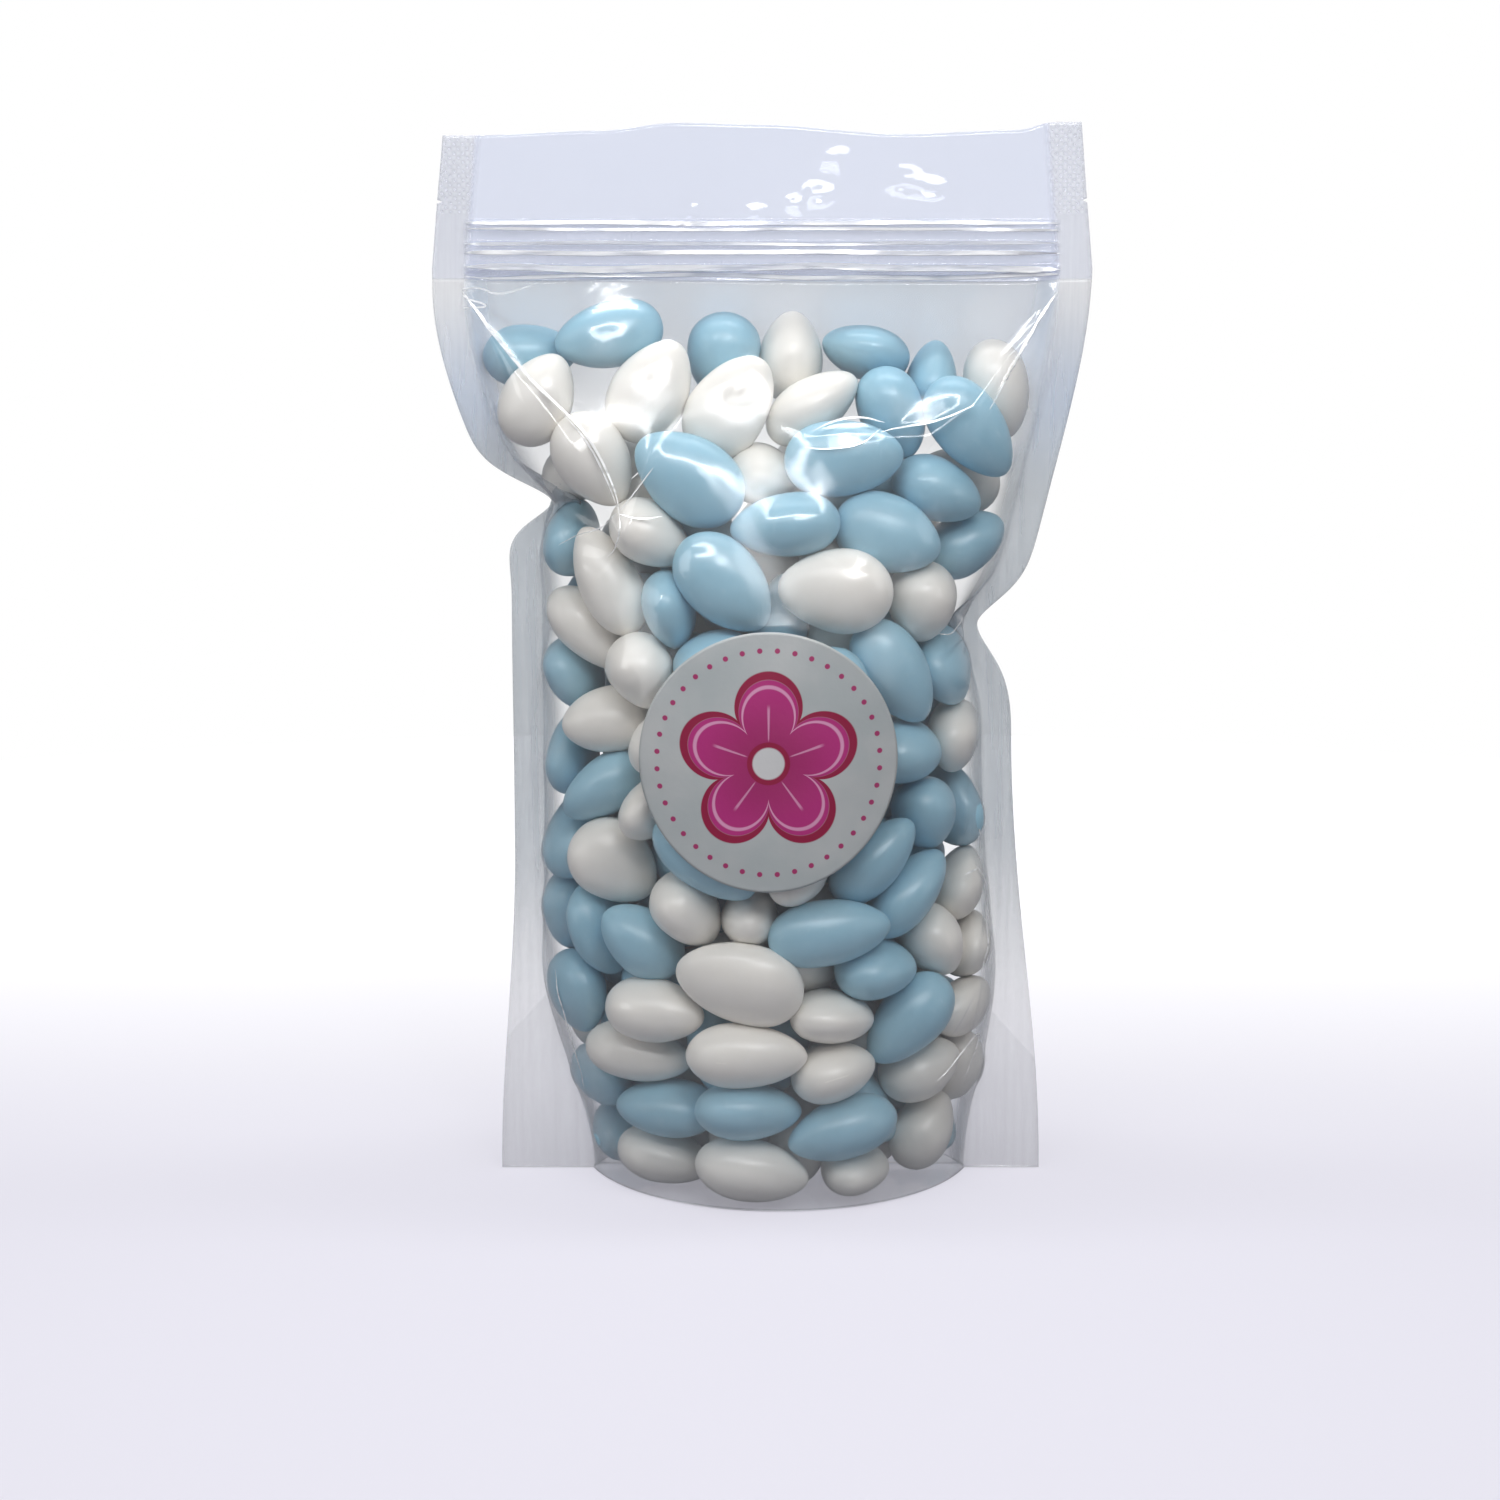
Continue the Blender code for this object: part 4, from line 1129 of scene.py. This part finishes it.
def sticker_mesh():
    """The label's outer face: rings and spokes about its middle, on the panel moved out by the stand and its
    own thickness, with slow dents of a tenth of a millimetre."""
    spokes = np.linspace(0.0, 2.0 * math.pi, STICKER_SPOKES, endpoint=False)[None, :]
    radius = np.linspace(0.0, STICKER_RADIUS, STICKER_RINGS + 1)[1:, None]
    x = np.append((STICKER_CENTRE[0] + radius * np.cos(spokes)).ravel(), STICKER_CENTRE[0])
    z = np.append((STICKER_CENTRE[1] + radius * np.sin(spokes)).ravel(), STICKER_CENTRE[1])
    slope = (front_y(x + 1e-4, z) - front_y(x - 1e-4, z)) / 2e-4
    out = STICKER_STAND + STICKER_GAP + STICKER_THICKNESS + slow_waves(x, z, 0.022, 0.00008, 5)
    points = np.stack([x, front_y(x, z) - out * np.hypot(1.0, slope), z], axis=-1)
    return mesh_of("sticker_print", points, *disc_faces(STICKER_RINGS, STICKER_SPOKES))


def print_material():
    """Petal edges lie at 0.34 + 0.30 |cos 2.5 angle|^0.7 of the radius, with a crimson band outside them and
    a pale line inside; dots repeat round the rim by the angle's remainder."""
    material, tree, place = new_material("sticker")
    x, _, z = components(tree, place)
    x, z = (x - STICKER_CENTRE[0]) / STICKER_RADIUS, (z - STICKER_CENTRE[1]) / STICKER_RADIUS
    far = (x * x + z * z) ** 0.5
    angle = x.math("ARCTAN2", z)
    lobe = (angle * 2.5).math("COSINE").math("ABSOLUTE") ** 0.7
    rim = lobe * 0.30 + 0.34
    soft = 0.006
    petals = (rim - far).step(-soft, soft)
    band = (rim + 0.065 - far).step(-soft, soft) - petals
    line_place = rim - far - 0.055
    line = 1.0 - line_place.math("ABSOLUTE").step(0.008, 0.008 + soft * 2)
    vein = 1.0 - (angle * 2.5).math("SINE").math("ABSOLUTE").step(0.03, 0.09)
    vein = vein * far.step(0.16, 0.2) * far.step(0.46, 0.40)
    heart = far.step(0.13, 0.115)
    heart_ring = far.step(0.17, 0.16) - heart
    turn = angle * (RIM_DOTS / (2.0 * math.pi)) + RIM_DOTS
    beside = (turn.math("FRACT") - 0.5) * (2.0 * math.pi / RIM_DOTS) * far
    dot_far = (beside * beside + (far - 0.86) * (far - 0.86)) ** 0.5
    dots = dot_far.step(0.024, 0.017)
    pearl = noise(tree, place, 60.0, 3.0)
    colour = blend_colours(tree, pearl.step(0.3, 0.7), *PEARL_GREYS)
    petal = blend_colours(tree, far.step(0.1, 0.62), *MAGENTAS)
    inks = ((dots, DOT_RED), (petals, petal), (band, CRIMSON), (line * 0.85 * petals, PINK),
            (vein * 0.7, PINK), (heart_ring, CRIMSON), (heart, HEART_GREY))
    for where, ink in inks:
        colour = blend_colours(tree, where, colour, ink)
    bump = add(tree, "Bump", {}, Strength=0.2, Distance=0.0004, Height=noise(tree, place, 420.0, 3.0))
    varnish = add(tree, "BsdfPrincipled", {}, Base_Color=colour, Roughness=pearl * 0.1 + 0.33, Normal=bump)
    return finished(material, varnish)


thicken(show("sticker_print", sticker_mesh(), print_material(), "sticker"), STICKER_THICKNESS)


# Studio
# A pale floor that goes over to glowing white, a broad light close above the front, a bar overhead, a small
# one high in front, one behind and one at each side. The strip and the glints show only in reflections, and
# the broad light shows in none.

CAMERA_PLACE = (-0.003, -0.790, 0.246)
CAMERA_PITCH = math.radians(9.7)
LENS = 75.0
FLOOR_LEVEL = -0.0003
FLOOR_PLACE, FLOOR_RADIUS = (0.0, -0.10), 0.80
FLOOR_RINGS, FLOOR_SPOKES = 40, 96
GLOW_ROUND, GLOW_BACK = (0.35, 0.72), (-0.06, 0.42)  # the floor goes over to white at the rim and to the back
LAVENDER, LAVENDER_GLOW, PURE_WHITE = (0.30, 0.297, 0.327), (0.50, 0.49, 0.545), (1.0, 1.0, 1.0)
UNSEEN_GLOW = (0.03, 0.03, 0.035)  # what the floor gives off to all but the camera
WORLD_LIGHT, WORLD_MIRRORED = (0.055, 0.055, 0.057), (0.45, 0.45, 0.47)
LIGHTS = (  # name, place, target, size, power, and whether reflections and matt surfaces see it
    ("front_top", (0.0, -0.30, 0.48), (0.0, -0.02, 0.22), (0.7, 0.26), 1.75, False, True),
    ("strip", (0.0, -0.62, 0.66), (0.0, -0.02, 0.14), (1.1, 0.045), 3.0, True, False),
    ("glints", (0.12, -0.60, 0.50), (0.0, 0.0, 0.25), (0.30, 0.12), 0.55, True, False),
    ("bar", (0.0, 0.03, 0.66), (0.0, -0.02, 0.12), (0.60, 0.09), 1.7, True, True),
    ("spark", (0.30, -1.00, 0.90), (0.0, -0.02, 0.20), (0.20, 0.20), 1.5, True, True),
    ("behind", (0.0, 0.60, 0.85), (0.0, 0.04, 0.12), (0.8, 0.4), 0.6, True, True),
    ("left", (-0.95, -0.45, 0.50), (0.0, 0.0, 0.12), (0.5, 0.7), 2.1, True, True),
    ("right", (0.95, -0.45, 0.50), (0.0, 0.0, 0.12), (0.5, 0.7), 0.9, True, True),
)


def floor_mesh():
    """A disc in rings and spokes, each ring further out than the last by the same factor."""
    spokes = np.linspace(0.0, 2.0 * math.pi, FLOOR_SPOKES, endpoint=False)[None, :]
    radius = np.geomspace(0.02, FLOOR_RADIUS, FLOOR_RINGS)[:, None]
    rings = np.stack([radius * np.cos(spokes), radius * np.sin(spokes), 0.0 * radius * spokes], axis=-1)
    points = np.concatenate([rings.reshape(-1, 3), [[0.0, 0.0, 0.0]]]) + (*FLOOR_PLACE, FLOOR_LEVEL)
    return mesh_of("floor", points, *disc_faces(FLOOR_RINGS, FLOOR_SPOKES))


def floor_material():
    """Pale lavender paper in front of the pouch, going over to glowing white all round."""
    material, tree, place = new_material("floor")
    x, y, _ = components(tree, place)
    back = y.step(*GLOW_BACK)
    x, y = x - FLOOR_PLACE[0], y - FLOOR_PLACE[1]
    away = ((x * x + y * y) ** 0.5).step(*GLOW_ROUND).math("MAXIMUM", back)
    seen = Wire(add(tree, "LightPath", {}).outputs["Is Camera Ray"])
    glow = blend_colours(tree, away, LAVENDER_GLOW, PURE_WHITE)
    glow = blend_colours(tree, seen, UNSEEN_GLOW, glow)
    paper = add(tree, "BsdfPrincipled", {}, Base_Color=(*LAVENDER, 1.0), Roughness=0.8, Emission_Color=glow,
                Emission_Strength=1.0)
    return finished(material, paper)


floor = put("floor", floor_mesh())
floor.data.materials.append(floor_material())


def softbox(name, place, target, size, power, glossy, diffuse):
    """An oblong area light of this size that faces the target, and what kinds of ray see it."""
    light = bpy.data.lights.new(name, "AREA")
    light.shape = "RECTANGLE"
    light.size, light.size_y = size
    light.energy = power
    thing = put(name, light)
    thing.visible_glossy, thing.visible_diffuse = glossy, diffuse
    thing.location = place
    away = np.array(place) - np.array(target)
    level = math.hypot(away[0], away[1])
    thing.rotation_euler = (math.atan2(level, away[2]), 0.0, math.atan2(away[0], -away[1]))


for light in LIGHTS:
    softbox(*light)

world = bpy.data.worlds.new("studio")
world.use_nodes = True
world.node_tree.nodes.clear()
seen = Wire(add(world.node_tree, "LightPath", {}).outputs["Is Camera Ray"])
mirrored = Wire(add(world.node_tree, "LightPath", {}).outputs["Is Glossy Ray"])
around = blend_colours(world.node_tree, mirrored, WORLD_LIGHT, WORLD_MIRRORED)
around = blend_colours(world.node_tree, seen, around, PURE_WHITE)
add(world.node_tree, "OutputWorld", {}, add(world.node_tree, "Background", {}, around, 1.0))
bpy.context.scene.world = world

camera = put("camera", bpy.data.cameras.new("camera"))
camera.data.lens = LENS
camera.data.clip_start = 0.01
camera.location = CAMERA_PLACE
camera.rotation_euler = (math.pi / 2 - CAMERA_PITCH, 0.0, 0.0)
bpy.context.scene.camera = camera
bpy.context.scene.view_settings.view_transform = "Standard"
bpy.context.scene.cycles.transparent_max_bounces = 24
